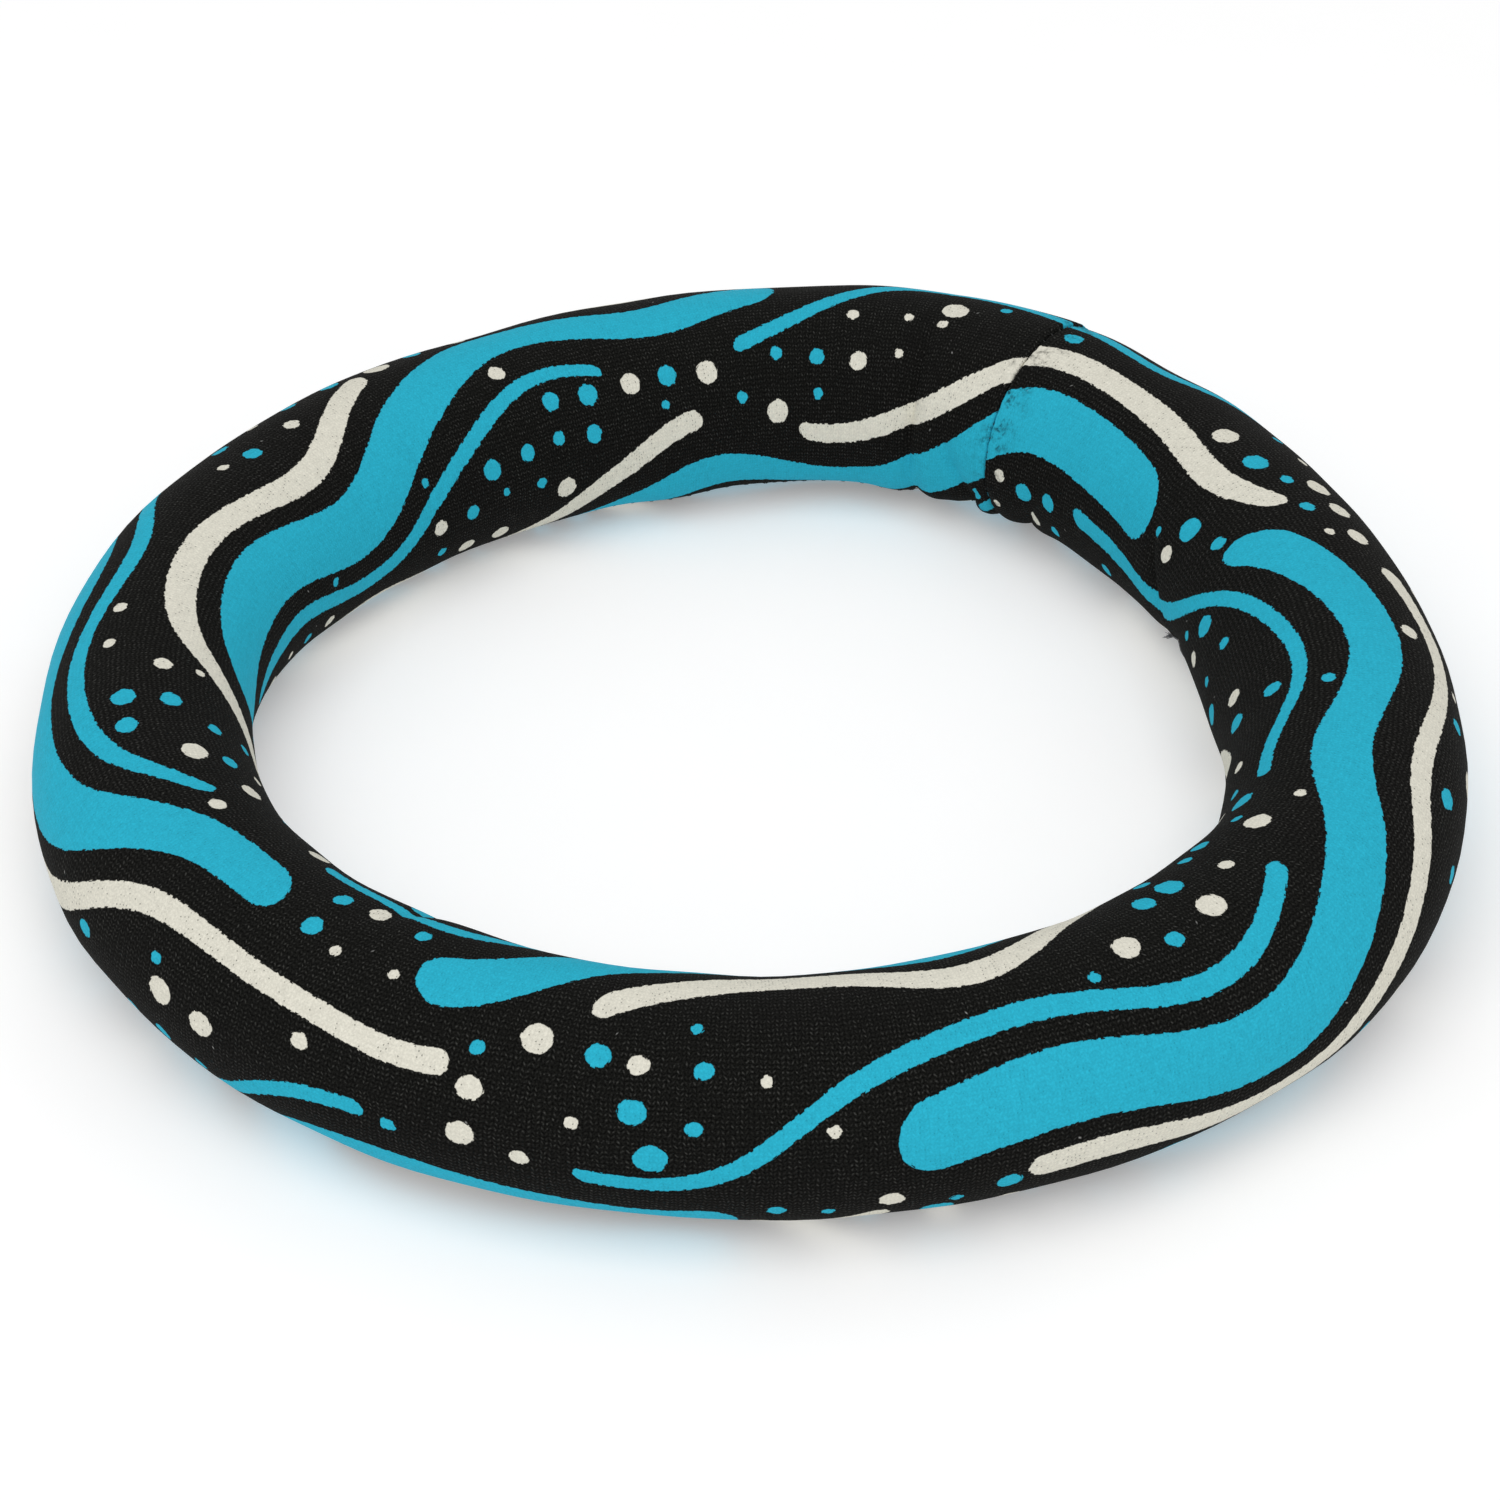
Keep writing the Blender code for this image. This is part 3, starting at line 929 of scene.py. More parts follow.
jersey = knit_group()
print("group:", jersey.name, "of", len(jersey.nodes), "nodes")

# %% [markdown]
# ## Print
#
# The print is a plain beach design: wavy ribbons and bubbles. A ribbon is a distance: how far a place lies
# from the ribbon's wavy middle line, less half its width. Below zero is inside. The same waves repeat in
# bands across the strip, each band shifted on from the last, and each ribbon is cut into lengths with
# round ends. The bands run a little slanted, so that they wind round the tube.

# %% Wave ribbon group
# Lengths in mm on the flat strip
BAND_SLANT = math.radians(13)
BAND_PITCH = 50.0
BAND_SHIFT = 2.1
WAVE_LENGTH = 92.0
# A smaller wave on top of the first: waves to each first one, and its share of the height
SECOND_WAVE = 2.3
SECOND_SHARE = 0.12
# A ribbon grows wider and narrower along its run: waves to each first one, and share of its width
WIDTH_WAVE = 0.5
WIDTH_SHARE = 0.18


def ribbon_group():
    inputs = ("Across", "Half Width", "Wave Height", "Run", "Repeat", "Start")
    sockets = {"Strip": VECTOR, **{name: FLOAT for name in inputs}}
    tree, given, gives = new_group("wave ribbon", sockets, {"Distance": FLOAT})
    m = partial(maths, tree)
    run, around, _ = split(tree, given["Strip"])
    cosine, sine = math.cos(BAND_SLANT), math.sin(BAND_SLANT)
    along = m("ADD", m("MULTIPLY", run, cosine), m("MULTIPLY", around, sine))
    across = m("SUBTRACT", m("MULTIPLY", around, cosine), m("MULTIPLY", run, sine))
    shifted = m("DIVIDE", m("SUBTRACT", across, given["Across"]), BAND_PITCH)
    band = m("ROUND", shifted)
    from_band = m("MULTIPLY", m("SUBTRACT", shifted, band), BAND_PITCH)
    phase = m("MULTIPLY", along, FULL_TURN / WAVE_LENGTH)
    phase = m("ADD", phase, m("MULTIPLY", band, BAND_SHIFT))
    second = m("MULTIPLY", m("SINE", m("MULTIPLY", phase, SECOND_WAVE)), SECOND_SHARE)
    wave = m("MULTIPLY", m("ADD", m("SINE", phase), second), given["Wave Height"])
    off = m("SUBTRACT", from_band, wave)
    lengths = m("DIVIDE", m("SUBTRACT", along, given["Start"]), given["Repeat"])
    lengths = m("ADD", lengths, m("MULTIPLY", band, BAND_SHIFT / FULL_TURN))
    local = m("MULTIPLY", m("SUBTRACT", lengths, m("ROUND", lengths)), given["Repeat"])
    beyond = m("SUBTRACT", m("ABSOLUTE", local), m("MULTIPLY", given["Run"], 0.5))
    beyond = m("MAXIMUM", beyond, 0.0)
    far = m("SQRT", m("ADD", m("MULTIPLY", off, off), m("MULTIPLY", beyond, beyond)))
    wider = m("MULTIPLY", m("SINE", m("MULTIPLY", phase, WIDTH_WAVE)), WIDTH_SHARE)
    half_width = m("MULTIPLY", given["Half Width"], m("ADD", 1.0, wider))
    feed(tree, gives["Distance"], m("SUBTRACT", far, half_width))
    return tree


wave_ribbon = ribbon_group()
print("group:", wave_ribbon.name, "of", len(wave_ribbon.nodes), "nodes")

# %% [markdown]
# Bubbles fill the dark bands between the ribbons. A cell pattern scatters their middles, and each cell
# draws its bubble only where the middle lies well clear of every ribbon, so that none is cut off.

# %% Print group
WAVE_HEIGHT = 6.5
# Each ribbon: place across the band, half width, length of run, repeat, start
WIDE_RIBBON = (0.0, 5.7, 168.0, 205.0, 20.0)
ECHO_RIBBON = (13.4, 1.7, 120.0, 152.0, 70.0)
PALE_RIBBON = (-14.0, 2.5, 140.0, 166.0, 110.0)
BUBBLE_CELL = 8.6
BUBBLE_SCATTER = 0.5
BUBBLE_LEAST = 0.9
BUBBLE_SPREAD = 1.6
BUBBLE_CLEAR = 1.3
# Share of the cells that stay empty, and share of the bubbles that are pale
BUBBLE_MISSING = 0.22
PALE_BUBBLES = 0.42
INK_EDGE = 0.07


def all_ribbons(tree, strip):
    """Distances of a place from the turquoise and from the pale ribbons."""
    found = []
    for across, half_width, run, repeat, start in (WIDE_RIBBON, ECHO_RIBBON, PALE_RIBBON):
        made = use_group(
            tree, wave_ribbon, Strip=strip, Across=across, Half_Width=half_width,
            Wave_Height=WAVE_HEIGHT, Run=run, Repeat=repeat, Start=start,
        )
        found.append(made["Distance"])
    return maths(tree, "MINIMUM", found[0], found[1]), found[2]


def print_group():
    tree, given, gives = new_group("beach print", {"Strip": VECTOR}, {"Turquoise": FLOAT, "Cream": FLOAT})
    m = partial(maths, tree)
    turquoise, cream = all_ribbons(tree, given["Strip"])
    wide = ramp(tree, turquoise, INK_EDGE, -INK_EDGE)
    thin = ramp(tree, cream, INK_EDGE, -INK_EDGE)

    # One bubble in each cell, where there is room for it
    cells = tree.nodes.new("ShaderNodeTexVoronoi")
    cells.voronoi_dimensions = "2D"
    cells.inputs["Scale"].default_value = 1 / BUBBLE_CELL
    cells.inputs["Randomness"].default_value = BUBBLE_SCATTER
    feed(tree, cells.inputs["Vector"], given["Strip"])
    chance, size, shade = split(tree, cells.outputs["Color"])
    middle = cells.outputs["Position"]
    radius = m("ADD", BUBBLE_LEAST, m("MULTIPLY", size, BUBBLE_SPREAD))
    clear = m("MINIMUM", *all_ribbons(tree, middle))
    fits = m("GREATER_THAN", clear, m("ADD", radius, BUBBLE_CLEAR))
    drawn = m("MULTIPLY", fits, m("GREATER_THAN", chance, BUBBLE_MISSING))
    off = vector_maths(tree, "DISTANCE", given["Strip"], middle, output="Value")
    bubble = ramp(tree, m("SUBTRACT", off, radius), INK_EDGE, -INK_EDGE)
    bubble = m("MULTIPLY", bubble, drawn)
    pale = m("LESS_THAN", shade, PALE_BUBBLES)
    vivid = m("MULTIPLY", bubble, m("SUBTRACT", 1.0, pale))
    feed(tree, gives["Turquoise"], m("MAXIMUM", wide, vivid))
    feed(tree, gives["Cream"], m("MAXIMUM", thin, m("MULTIPLY", bubble, pale)))
    return tree


beach_print = print_group()
print("group:", beach_print.name, "of", len(beach_print.nodes), "nodes")

# %% [markdown]
# ## Printed neoprene
#
# The cloth is dyed black and the ink lies on top of the loops. Bare loops are dark and fuzzy, with painted
# shade in the gaps between the legs.
# A few carry a painted highlight, a glint where a yarn would turn to the light, and here and there sits a
# speck of lint. A flat black would look like rubber, so the yarn, the painted shade and glints and the lint
# are blended one over the other, each with its own mask.

# %% Bare knit
# The darkest yarn colour: painted shade in the gaps between the legs, and the dark end of the random fuzz
SHADE_AND_FUZZ_YARN = (0.0020, 0.0020, 0.0018, 1)
BLACK_YARN = (0.0150, 0.0150, 0.0135, 1)
# Colour of the painted highlight: the glint blended over a few leg crests
GLINT_HIGHLIGHT = (0.068, 0.068, 0.063, 1)
LINT_GREY = (0.30, 0.30, 0.29, 1)
LINT_FROM = 0.9992
FUZZ_SHARE = 0.55
GLINT_POWER = 1.3
GLINT_BY_FUZZ = (0.15, 1.35)
# Each mottle: noise scale and detail, the noise's low and high value, and what these two give
FUZZ_MOTTLE = (3.0, 2.0, 0.36, 0.64, 0.0, 1.0)
GLINT_MOTTLE = (0.12, 2.0, 0.3, 0.7, 0.7, 1.0)


def bare_knit(tree, strip, knit, fuzz):
    """Colour of the loops where there is no ink, with painted shade in the gaps and painted glints."""
    m = partial(maths, tree)
    # Painted shade: the yarn darkens where the knit's height is low, between the legs, mixed with random
    # fuzz
    lit = m("ADD", m("MULTIPLY", knit["Height"], 1 - FUZZ_SHARE), m("MULTIPLY", fuzz, FUZZ_SHARE))
    colour = blend(tree, lit, SHADE_AND_FUZZ_YARN, BLACK_YARN)
    # Painted highlight: some leg crests are blended towards a lighter colour, as glints where a yarn would
    # turn to the light
    glint = m("MULTIPLY", knit["Crest"], m("POWER", knit["Leg"], GLINT_POWER))
    glint = m("MULTIPLY", glint, patches(tree, strip, *GLINT_MOTTLE))
    glint = m("MULTIPLY", glint, between(tree, fuzz, *GLINT_BY_FUZZ))
    colour = blend(tree, glint, colour, GLINT_HIGHLIGHT)
    lint = m("MULTIPLY", knit["Crest"], m("GREATER_THAN", knit["Leg"], LINT_FROM))
    return blend(tree, lint, colour, LINT_GREY)


print("a glint is", round(GLINT_HIGHLIGHT[0] / BLACK_YARN[0], 1), "times as light as plain yarn")

# %% [markdown]
# The inks are a little uneven from leg to leg, and dark pinholes show in some of the gaps. Between the legs
# the inks are painted a little darker and on the crests a little lighter, as painted shade and light. Near
# the hems the ink is rubbed where the cloth was folded and sewn. The back has none. Flat colours would be
# simpler, but from close by they look like paint on paper.

# %% Ink on the knit
TURQUOISE_INK = (0.0260, 0.440, 0.606)
CREAM_INK = (0.742, 0.720, 0.622)
# Each ink: its name in the print, its colour, and how much a pinhole darkens it
INKS = (("Turquoise", TURQUOISE_INK, 0.2), ("Cream", CREAM_INK, 0.6))
# Lengths from the hem in mm: where rubbing starts, where it is full, and how much less there is on the left
RUBBED_LENGTH = 8.0
RUBBED_FULLY = 1.0
LEFT_RUB_LESS = 3.2
RUB_MOTTLE = (0.35, 3.0, 0.46, 0.60, 0.0, 1.0)
FLECK_MOTTLE = (1.4, 2.0, 0.34, 0.62, 0.0, 0.8)
TONE_MOTTLE = (0.9, 3.0, 0.25, 0.75, 0.96, 1.03)
TONE_BY_LEG = (0.96, 1.04)
# Painted shade and light on the ink: darker in the gaps between the legs, lighter on the crests
PAINTED_SHADE_BY_HEIGHT = (0.96, 1.06)
TONE_BY_FUZZ = (0.93, 1.06)
# Share of the gaps that are open, from place to place
OPEN_MOTTLE = (0.13, 2.0, 0.40, 0.62, 0.03, 0.35)


def ink_kept(tree, strip):
    """Share of the ink that is left."""
    m = partial(maths, tree)
    run, around, _ = split(tree, strip)
    face = m("LESS_THAN", around, BACK_OFFSET / 2)
    to_end = m("SUBTRACT", STRIP_LENGTH / MM, run)
    from_hem = m("MINIMUM", m("ADD", run, LEFT_RUB_LESS), to_end)
    rubbed = ramp(tree, from_hem, RUBBED_LENGTH, RUBBED_FULLY)
    rubbed = m("MULTIPLY", rubbed, patches(tree, strip, *RUB_MOTTLE))
    rubbed = m("MULTIPLY", rubbed, patches(tree, strip, *FLECK_MOTTLE))
    return m("MULTIPLY", face, m("SUBTRACT", 1.0, rubbed))


def lay_ink(tree, strip, knit, fuzz, ink, kept, colour):
    """Colour with both inks laid over it, with painted shade in the gaps between the legs."""
    m = partial(maths, tree)
    tone_and_shade = patches(tree, strip, *TONE_MOTTLE)
    # The swing by the knit's height is painted shade and light, darker in the gaps and lighter on the
    # crests; the swings by leg and by fuzz are random tone
    swings = ((knit["Leg"], TONE_BY_LEG), (knit["Height"], PAINTED_SHADE_BY_HEIGHT), (fuzz, TONE_BY_FUZZ))
    for value, limits in swings:
        tone_and_shade = m("MULTIPLY", tone_and_shade, between(tree, value, *limits))
    open_share = patches(tree, strip, *OPEN_MOTTLE)
    pinhole = m("MULTIPLY", knit["Gap"], m("LESS_THAN", knit["Hole"], open_share))
    for name, base, dark in INKS:
        shade = m("MULTIPLY", tone_and_shade, m("SUBTRACT", 1.0, m("MULTIPLY", pinhole, dark)))
        colour = blend(tree, m("MULTIPLY", ink[name], kept), colour, tint(tree, base, shade))
    return colour


print(len(INKS), "inks, rubbed within", RUBBED_LENGTH, "mm of the hems")

# %% [markdown]
# The ink's edge follows the loops and is never quite straight: the place where the print is read is moved
# by a random step for each leg, and by a slow wobble. Ink fills the knit, so the printed cloth is smoother
# than the bare cloth. A faint sheen stands for the fine fibres that catch the light at a low angle.

# %% Sleeve material
EDGE_JITTER = 0.30
EDGE_WOBBLE = 0.30
WOBBLE_SCALE = 1.1
KNIT_RELIEF = 0.12 * MM
INKED_RELIEF = 0.3
BARE_ROUGHNESS = 0.88
INKED_ROUGHNESS = 0.72
SPECULAR_LEVEL = 0.03
SHEEN_WEIGHT = 0.014
SHEEN_ROUGHNESS = 0.4


def sleeve_material():
    made, tree, shader = new_material("printed knit neoprene")
    m = partial(maths, tree)
    strip_node = tree.nodes.new("ShaderNodeUVMap")
    strip_node.uv_map = "strip"
    strip = strip_node.outputs["UV"]
    knit = use_group(tree, jersey, Strip=strip)
    fuzz = patches(tree, strip, *FUZZ_MOTTLE)
    jitter = shift(tree, knit["Jitter"], EDGE_JITTER)
    wobble = shift(tree, noise(tree, strip, WOBBLE_SCALE, 2.0, "Color"), EDGE_WOBBLE)
    moved = vector_maths(tree, "ADD", vector_maths(tree, "ADD", strip, jitter), wobble)
    ink = use_group(tree, beach_print, Strip=moved)
    kept = ink_kept(tree, strip)
    bare = bare_knit(tree, strip, knit, fuzz)
    feed(tree, shader["Base Color"], lay_ink(tree, strip, knit, fuzz, ink, kept, bare))
    covered = m("MULTIPLY", m("MAXIMUM", ink["Turquoise"], ink["Cream"]), kept)
    feed(tree, shader["Roughness"], between(tree, covered, BARE_ROUGHNESS, INKED_ROUGHNESS))
    relief = m("MULTIPLY", knit["Height"], between(tree, covered, 1.0, INKED_RELIEF))
    feed(tree, shader["Normal"], bump(tree, relief, KNIT_RELIEF))
    shader["Specular IOR Level"].default_value = SPECULAR_LEVEL
    shader["Sheen Weight"].default_value = SHEEN_WEIGHT
    shader["Sheen Roughness"].default_value = SHEEN_ROUGHNESS
    return made


mesh.materials.append(sleeve_material())
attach(sleeve, "root")
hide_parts("neoprene_sleeve")
print("sleeve dressed in", mesh.materials[0].name)

# %% [markdown]
# ## Sewing thread
#
# All the sewing is done with black twisted thread. It is made as curves with a round bevel, because a
# curve's points can be set one stitch at a time. Two plies wind round each other, which shows as fine
# slanting bands across the thread: a wave texture in the object's own space draws them as relief, and also
# as painted light on the crests and painted shade in the grooves between them, and noise adds the fibres.

# %% Thread material
THREAD_RADIUS = 0.16 * MM
THREAD_ROUGHNESS = (0.6, 0.8)
FIBRE_SCALE = 9000.0
PLY_SCALE = 700.0
PLY_WOBBLE = 1.5
PLY_RELIEF = 0.05 * MM
BLACK_DARK = (0.003, 0.003, 0.003, 1)
BLACK_LIGHT = (0.014, 0.014, 0.014, 1)


def thread_material(name, dark, light):
    made, tree, shader = new_material(name)
    m = partial(maths, tree)
    place = object_place(tree)
    fibres = noise(tree, place, FIBRE_SCALE)
    bands = tree.nodes.new("ShaderNodeTexWave")
    bands.bands_direction = "DIAGONAL"
    bands.inputs["Scale"].default_value = PLY_SCALE
    bands.inputs["Distortion"].default_value = PLY_WOBBLE
    feed(tree, bands.inputs["Vector"], place)
    ply = bands.outputs["Fac"]
    # Painted light and shade: the colour is lighter on the plies' crests and darker in the grooves between
    # them, with random fibre tone
    feed(tree, shader["Base Color"], blend(tree, m("MULTIPLY", ply, fibres), dark, light))
    feed(tree, shader["Roughness"], between(tree, fibres, *THREAD_ROUGHNESS))
    feed(tree, shader["Normal"], bump(tree, m("ADD", ply, fibres), PLY_RELIEF))
    return made


black_thread = thread_material("black twisted thread", BLACK_DARK, BLACK_LIGHT)
print("material:", black_thread.name)

# %% Thread as a curve


def thread_curve(name, splines, finish, resolution):
    """Curve object of one or more threads; each spline is its points and their thickness."""
    curve = bpy.data.curves.new(name, "CURVE")
    curve.dimensions = "3D"
    curve.bevel_depth = THREAD_RADIUS
    curve.bevel_resolution = resolution
    curve.use_fill_caps = True
    for points, thickness in splines:
        spline = curve.splines.new("POLY")
        spline.points.add(len(points) - 1)
        spline.points.foreach_set("co", np.column_stack([points, np.ones(len(points))]).ravel())
        spline.points.foreach_set("radius", np.broadcast_to(thickness, len(points)).astype(np.float32))
        spline.use_smooth = True
    made = add_object(name, curve)
    curve.materials.append(finish)
    count = sum(len(spline.points) for spline in curve.splines)
    print(name, "of", len(curve.splines), "strands and", count, "points")
    return made


# %% [markdown]
# The long seam is a zigzag over the two butted edges of the strip. Each stitch comes up through the cloth
# on one side, lies across the seam and goes down on the other side.

# %% Seam thread
SEAM_STITCH = 4 * MM
SEAM_HALF_WIDTH = 1.5 * MM
SEAM_END = 6 * MM
# Places across one stitch, from -1 to 1, and how high the thread lies there
STITCH_ACROSS = np.array([-1.0, -0.85, -0.4, 0.0, 0.4, 0.85])
STITCH_LIFT = np.array([-0.55, 0.10, 0.22, 0.30, 0.22, 0.10]) * MM


def seam_thread_points():
    reach = plan_reach(CLOSURE_ANGLE, SEAM_TURN)
    end = SEAM_END / reach
    span = FULL_TURN - 2 * end
    count = 2 * round(span * reach / SEAM_STITCH)
    points = []
    for step in range(count):
        side = 1 if step % 2 else -1
        angle = CLOSURE_ANGLE + end + span * (step + (STITCH_ACROSS + 1) / 2) / count
        turn = SEAM_TURN + side * STITCH_ACROSS * SEAM_HALF_WIDTH / TUBE_RADIUS
        points.append(tube_points(angle, turn, sleeve_lift(angle, turn) + STITCH_LIFT))
    return np.concatenate(points)


seam = thread_curve("seam_stitches", [(seam_thread_points(), 1.0)], black_thread, 1)
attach(seam, "root")
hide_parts("seam_thread")

# %% [markdown]
# The closure is sewn by hand with ladder stitches: the thread crosses the groove, runs inside one folded
# edge for a stitch, and crosses back. Pulled tight, only a dot of thread shows at each crossing.

# %% Closure thread
CLOSURE_END = 3 * MM
RUNG_HALF = 0.75 * MM
# One rung of the ladder: places along from the groove's middle, in half rungs, and depth below the lips
RUNG_ALONG = np.array([1.3, 0.9, 0.35, -0.35, -0.9, -1.3])
RUNG_DEPTH = np.array([1.0, 0.55, 0.34, 0.34, 0.55, 1.0]) * MM


def closure_thread_points():
    first = math.ceil((SEAM_TURN * TUBE_RADIUS + CLOSURE_END) / STITCH_PITCH)
    last = math.floor(((SEAM_TURN + FULL_TURN) * TUBE_RADIUS - CLOSURE_END) / STITCH_PITCH)
    points = []
    for step in range(first, last + 1):
        turn = step * STITCH_PITCH / TUBE_RADIUS
        along = RUNG_ALONG * RUNG_HALF * (1 if step % 2 else -1)
        angle = CLOSURE_ANGLE + along / plan_reach(CLOSURE_ANGLE, turn)
        points.append(tube_points(angle, turn, sleeve_lift(angle, turn) - RUNG_DEPTH, RUNG_DEPTH))
    return np.concatenate(points)


closure = thread_curve("closure_stitches", [(closure_thread_points(), 1.0)], black_thread, 2)
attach(closure, "root")
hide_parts("closure_thread")

# %% [markdown]
# Where the hand sewing ends there is a small knot and a cut tail. The tail lies on the sleeve on the hole
# side, and its end has come apart into fine grey fibres.

# %% Knot and tail
KNOT_ANGLE = math.radians(19)
KNOT_TURN = math.radians(226)
KNOT_RADIUS = 0.42 * MM
KNOT_POINTS = 48
TAIL_ANGLE = math.radians(21.5)
TAIL_TURN = math.radians(205)
TAIL_POINTS = 14
TAIL_SWAY = math.radians(0.5)
TAIL_STAND_OFF = 0.2 * MM


def tail_path():
    share = np.linspace(0, 1, TAIL_POINTS)
    turn = KNOT_TURN + (TAIL_TURN - KNOT_TURN) * share
    angle = KNOT_ANGLE + (TAIL_ANGLE - KNOT_ANGLE) * share + TAIL_SWAY * np.sin(share * FULL_TURN)
    return tube_points(angle, turn, sleeve_lift(angle, turn) + TAIL_STAND_OFF)


def knot_path(middle):
    """An overhand knot, drawn as a trefoil round the start of the tail."""
    swing = np.linspace(0, FULL_TURN, KNOT_POINTS)
    x = np.sin(swing) + 2 * np.sin(2 * swing)
    y = np.cos(swing) - 2 * np.cos(2 * swing)
    z = -np.sin(3 * swing)
    return middle + np.stack([x, y, z], axis=-1) * KNOT_RADIUS / 2


tail = tail_path()
tail_length = np.linalg.norm(np.diff(tail, axis=0), axis=1).sum()
print("tail", round(tail_length / MM, 1), "mm long")

# %% Frayed end
FIBRE_COUNT = 40
FIBRE_POINTS = 7
FIBRE_LENGTH = 1.2 * MM
FIBRE_SPREAD = 1.6 * MM
FIBRE_RADIUS = 0.04 * MM
FIBRE_SEED = 11
# Limits of the random draws: how far a fibre rises, and its share of the full length
FIBRE_RISE = (0.05, 0.75)
FIBRE_LONG = (0.5, 1)
FIBRE_CURL = 1.6
GREY_DARK = (0.08, 0.08, 0.085, 1)
GREY_LIGHT = (0.40, 0.40, 0.42, 1)


def fibre_paths(root, onward, outward, sideways):
    """Loose fibres that fan out from the end of the tail."""
    draw = random.Random(FIBRE_SEED)
    paths = []
    for _ in range(FIBRE_COUNT):
        lean = draw.uniform(-1, 1)
        rise = draw.uniform(*FIBRE_RISE)
        long = draw.uniform(*FIBRE_LONG)
        share = np.linspace(0, 1, FIBRE_POINTS)[:, None]
        path = root + onward * share * FIBRE_LENGTH * long
        path = path + (sideways * lean + outward * rise) * share ** FIBRE_CURL * FIBRE_SPREAD
        paths.append(path)
    return paths


# The way out of the sleeve is nearly level here, because no point goes below the table
tail_onward = (tail[-1] - tail[-2]) / np.linalg.norm(tail[-1] - tail[-2])
tail_out = tube_points(TAIL_ANGLE, TAIL_TURN, 1.0) - tube_points(TAIL_ANGLE, TAIL_TURN, 0.0)
tail_side = np.cross(tail_onward, tail_out)
fibre_share = FIBRE_RADIUS / THREAD_RADIUS
tail_splines = [(knot_path(tail[0]), 1.0), (tail, 1.0)]
tail_splines += [(path, fibre_share) for path in fibre_paths(tail[-1], tail_onward, tail_out, tail_side)]
grey_thread = thread_material("frayed thread", GREY_DARK, GREY_LIGHT)
tail_piece = thread_curve("thread_tail_frayed", tail_splines, grey_thread, 1)
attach(tail_piece, "root")
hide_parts("thread_tail")

# %% [markdown]
# ## Inside the sleeve
#
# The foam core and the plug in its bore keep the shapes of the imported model, because they are hidden and
# plain. They get finishes of their own: closed-cell foam, which is a skin of small shut bubbles, and
# plain moulded plastic.

# %% Foam
CELL_SIZE = 0.7 * MM
CELL_WALL = (0.2, 0.7)
FOAM_LIGHT = (0.36, 0.36, 0.37, 1)
# Colour in the cells' hollows: painted shade
FOAM_HOLLOW_SHADE = (0.22, 0.22, 0.23, 1)
FOAM_ROUGHNESS = (0.95, 0.8)
FOAM_RELIEF = 0.15 * MM


def foam_material():
    made, tree, shader = new_material("closed-cell foam")
    cells = tree.nodes.new("ShaderNodeTexVoronoi")
    cells.inputs["Scale"].default_value = 1 / CELL_SIZE
    feed(tree, cells.inputs["Vector"], object_place(tree))
    wall = ramp(tree, cells.outputs["Distance"], *CELL_WALL)
    # Painted shade: the cells' hollows, which the relief sets low, are coloured darker than their walls
    feed(tree, shader["Base Color"], blend(tree, wall, FOAM_HOLLOW_SHADE, FOAM_LIGHT))
    feed(tree, shader["Roughness"], between(tree, wall, *FOAM_ROUGHNESS))
    feed(tree, shader["Normal"], bump(tree, wall, FOAM_RELIEF))
    return made


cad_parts["foam_core"].material_slots[0].material = foam_material()
print("core dressed")

# %% Plug
PLASTIC_LIGHT = (0.62, 0.62, 0.6, 1)
PLASTIC_DARK = (0.52, 0.52, 0.5, 1)
PLASTIC_MOTTLE_SCALE = 300.0
PLASTIC_ROUGHNESS = (0.3, 0.7, 0.4, 0.55)
PLASTIC_GRAIN_SCALE = 2000.0
PLASTIC_RELIEF = 0.03 * MM


def plastic_material():
    made, tree, shader = new_material("moulded plug plastic")
    place = object_place(tree)
    mottle = noise(tree, place, PLASTIC_MOTTLE_SCALE, 3.0)
    feed(tree, shader["Base Color"], blend(tree, mottle, PLASTIC_DARK, PLASTIC_LIGHT))
    feed(tree, shader["Roughness"], ramp(tree, mottle, *PLASTIC_ROUGHNESS))
    feed(tree, shader["Normal"], bump(tree, noise(tree, place, PLASTIC_GRAIN_SCALE), PLASTIC_RELIEF))
    return made


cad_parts["core_plug"].material_slots[0].material = plastic_material()
print("plug dressed")

# %% [markdown]
# ## Floor, light and background
#
# The ring lies on a white table under one large soft light, with light from all round to fill the shade.
# More light on the table would wash out the ring, so the table glows a little by itself, slightly more to
# the camera than to the ring. It reads as white and still takes the ring's shadow. The world is white to
# the camera and softer as a light.

# %% Floor
FLOOR_HALF = 4.0
FLOOR_GAP = 0.05 * MM
FLOOR_WHITE = (0.86, 0.86, 0.86, 1)
FLOOR_WHITER = (0.88, 0.88, 0.88, 1)
FLOOR_GRAIN_SCALE = 40.0
FLOOR_ROUGHNESS = 0.9
FLOOR_GLOW = 0.25
FLOOR_BOUNCE = 0.2
SQUARE = ((-1, -1), (1, -1), (1, 1), (-1, 1))


def seen_directly(tree):
    """1 where the camera, a reflection or a view through glass looks straight at the surface."""
    path = tree.nodes.new("ShaderNodeLightPath").outputs
    seen = maths(tree, "MAXIMUM", path["Is Camera Ray"], path["Is Glossy Ray"])
    return maths(tree, "MAXIMUM", seen, path["Is Transmission Ray"])


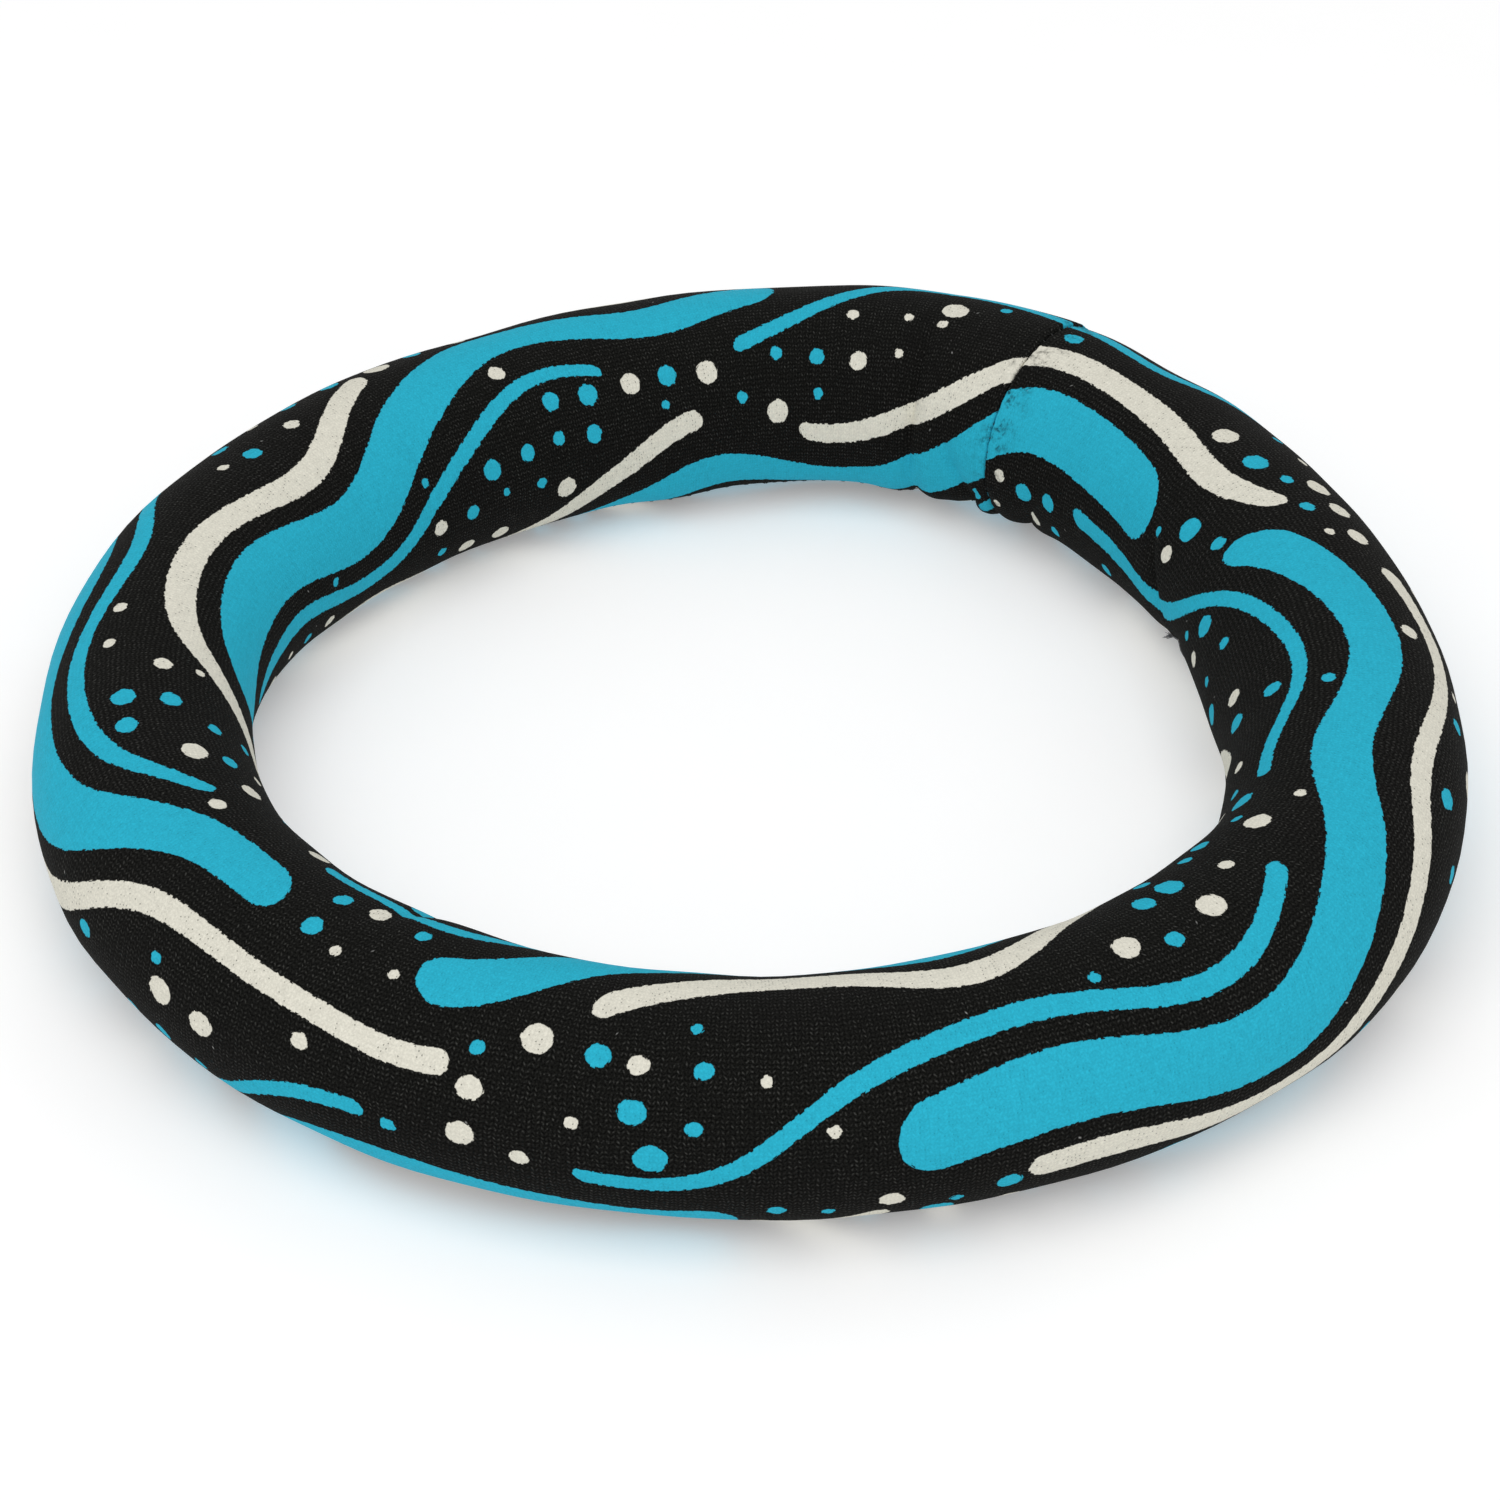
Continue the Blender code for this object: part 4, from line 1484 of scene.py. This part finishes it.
def floor_material():
    made, tree, shader = new_material("white table")
    grain = noise(tree, object_place(tree), FLOOR_GRAIN_SCALE, 3.0)
    feed(tree, shader["Base Color"], blend(tree, grain, FLOOR_WHITE, FLOOR_WHITER))
    shader["Roughness"].default_value = FLOOR_ROUGHNESS
    shader["Specular IOR Level"].default_value = 0.0
    shader["Emission Color"].default_value = (1, 1, 1, 1)
    glow = between(tree, seen_directly(tree), FLOOR_BOUNCE, FLOOR_GLOW)
    feed(tree, shader["Emission Strength"], glow)
    return made


floor_mesh = bpy.data.meshes.new("floor")
floor_corners = [(x * FLOOR_HALF, y * FLOOR_HALF, -FLOOR_GAP) for x, y in SQUARE]
floor_mesh.from_pydata(floor_corners, [], [(0, 1, 2, 3)])
floor_mesh.materials.append(floor_material())
floor = add_object("floor", floor_mesh)
floor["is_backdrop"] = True
print("floor", 2 * FLOOR_HALF, "m wide")

# %% Light
WORLD_LIGHT = 0.6
TOP_LIGHT_SIZE = 1.6
TOP_LIGHT_POWER = 11.5
TOP_LIGHT_PLACE = Vector((-0.1, -0.65, 1.4))

world = bpy.data.worlds.new("soft white room")
world.use_nodes = True
bpy.context.scene.world = world
sky = world.node_tree
backdrop = sky.nodes["Background"]
backdrop.inputs["Color"].default_value = (1, 1, 1, 1)
feed(sky, backdrop.inputs["Strength"], between(sky, seen_directly(sky), WORLD_LIGHT, 1.0))

lamp_data = bpy.data.lights.new("soft box", "AREA")
lamp_data.size = TOP_LIGHT_SIZE
lamp_data.energy = TOP_LIGHT_POWER
lamp = add_object("soft box", lamp_data)
lamp.location = TOP_LIGHT_PLACE
lamp.rotation_euler = (-TOP_LIGHT_PLACE).to_track_quat("-Z", "Y").to_euler()
bpy.context.scene.view_settings.view_transform = "Standard"
print("lit by", lamp.name, "and the room")

# %% [markdown]
# ## Measure and finish
#
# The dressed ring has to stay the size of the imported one, so both boxes are written down side by side.

# %% Sizes
bpy.context.view_layer.update()
boxes = {"cad": CAD_BOX, "visual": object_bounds()}
for name, (low, high) in boxes.items():
    print(name, [round((b - a) / MM, 1) for a, b in zip(low, high)], "mm")
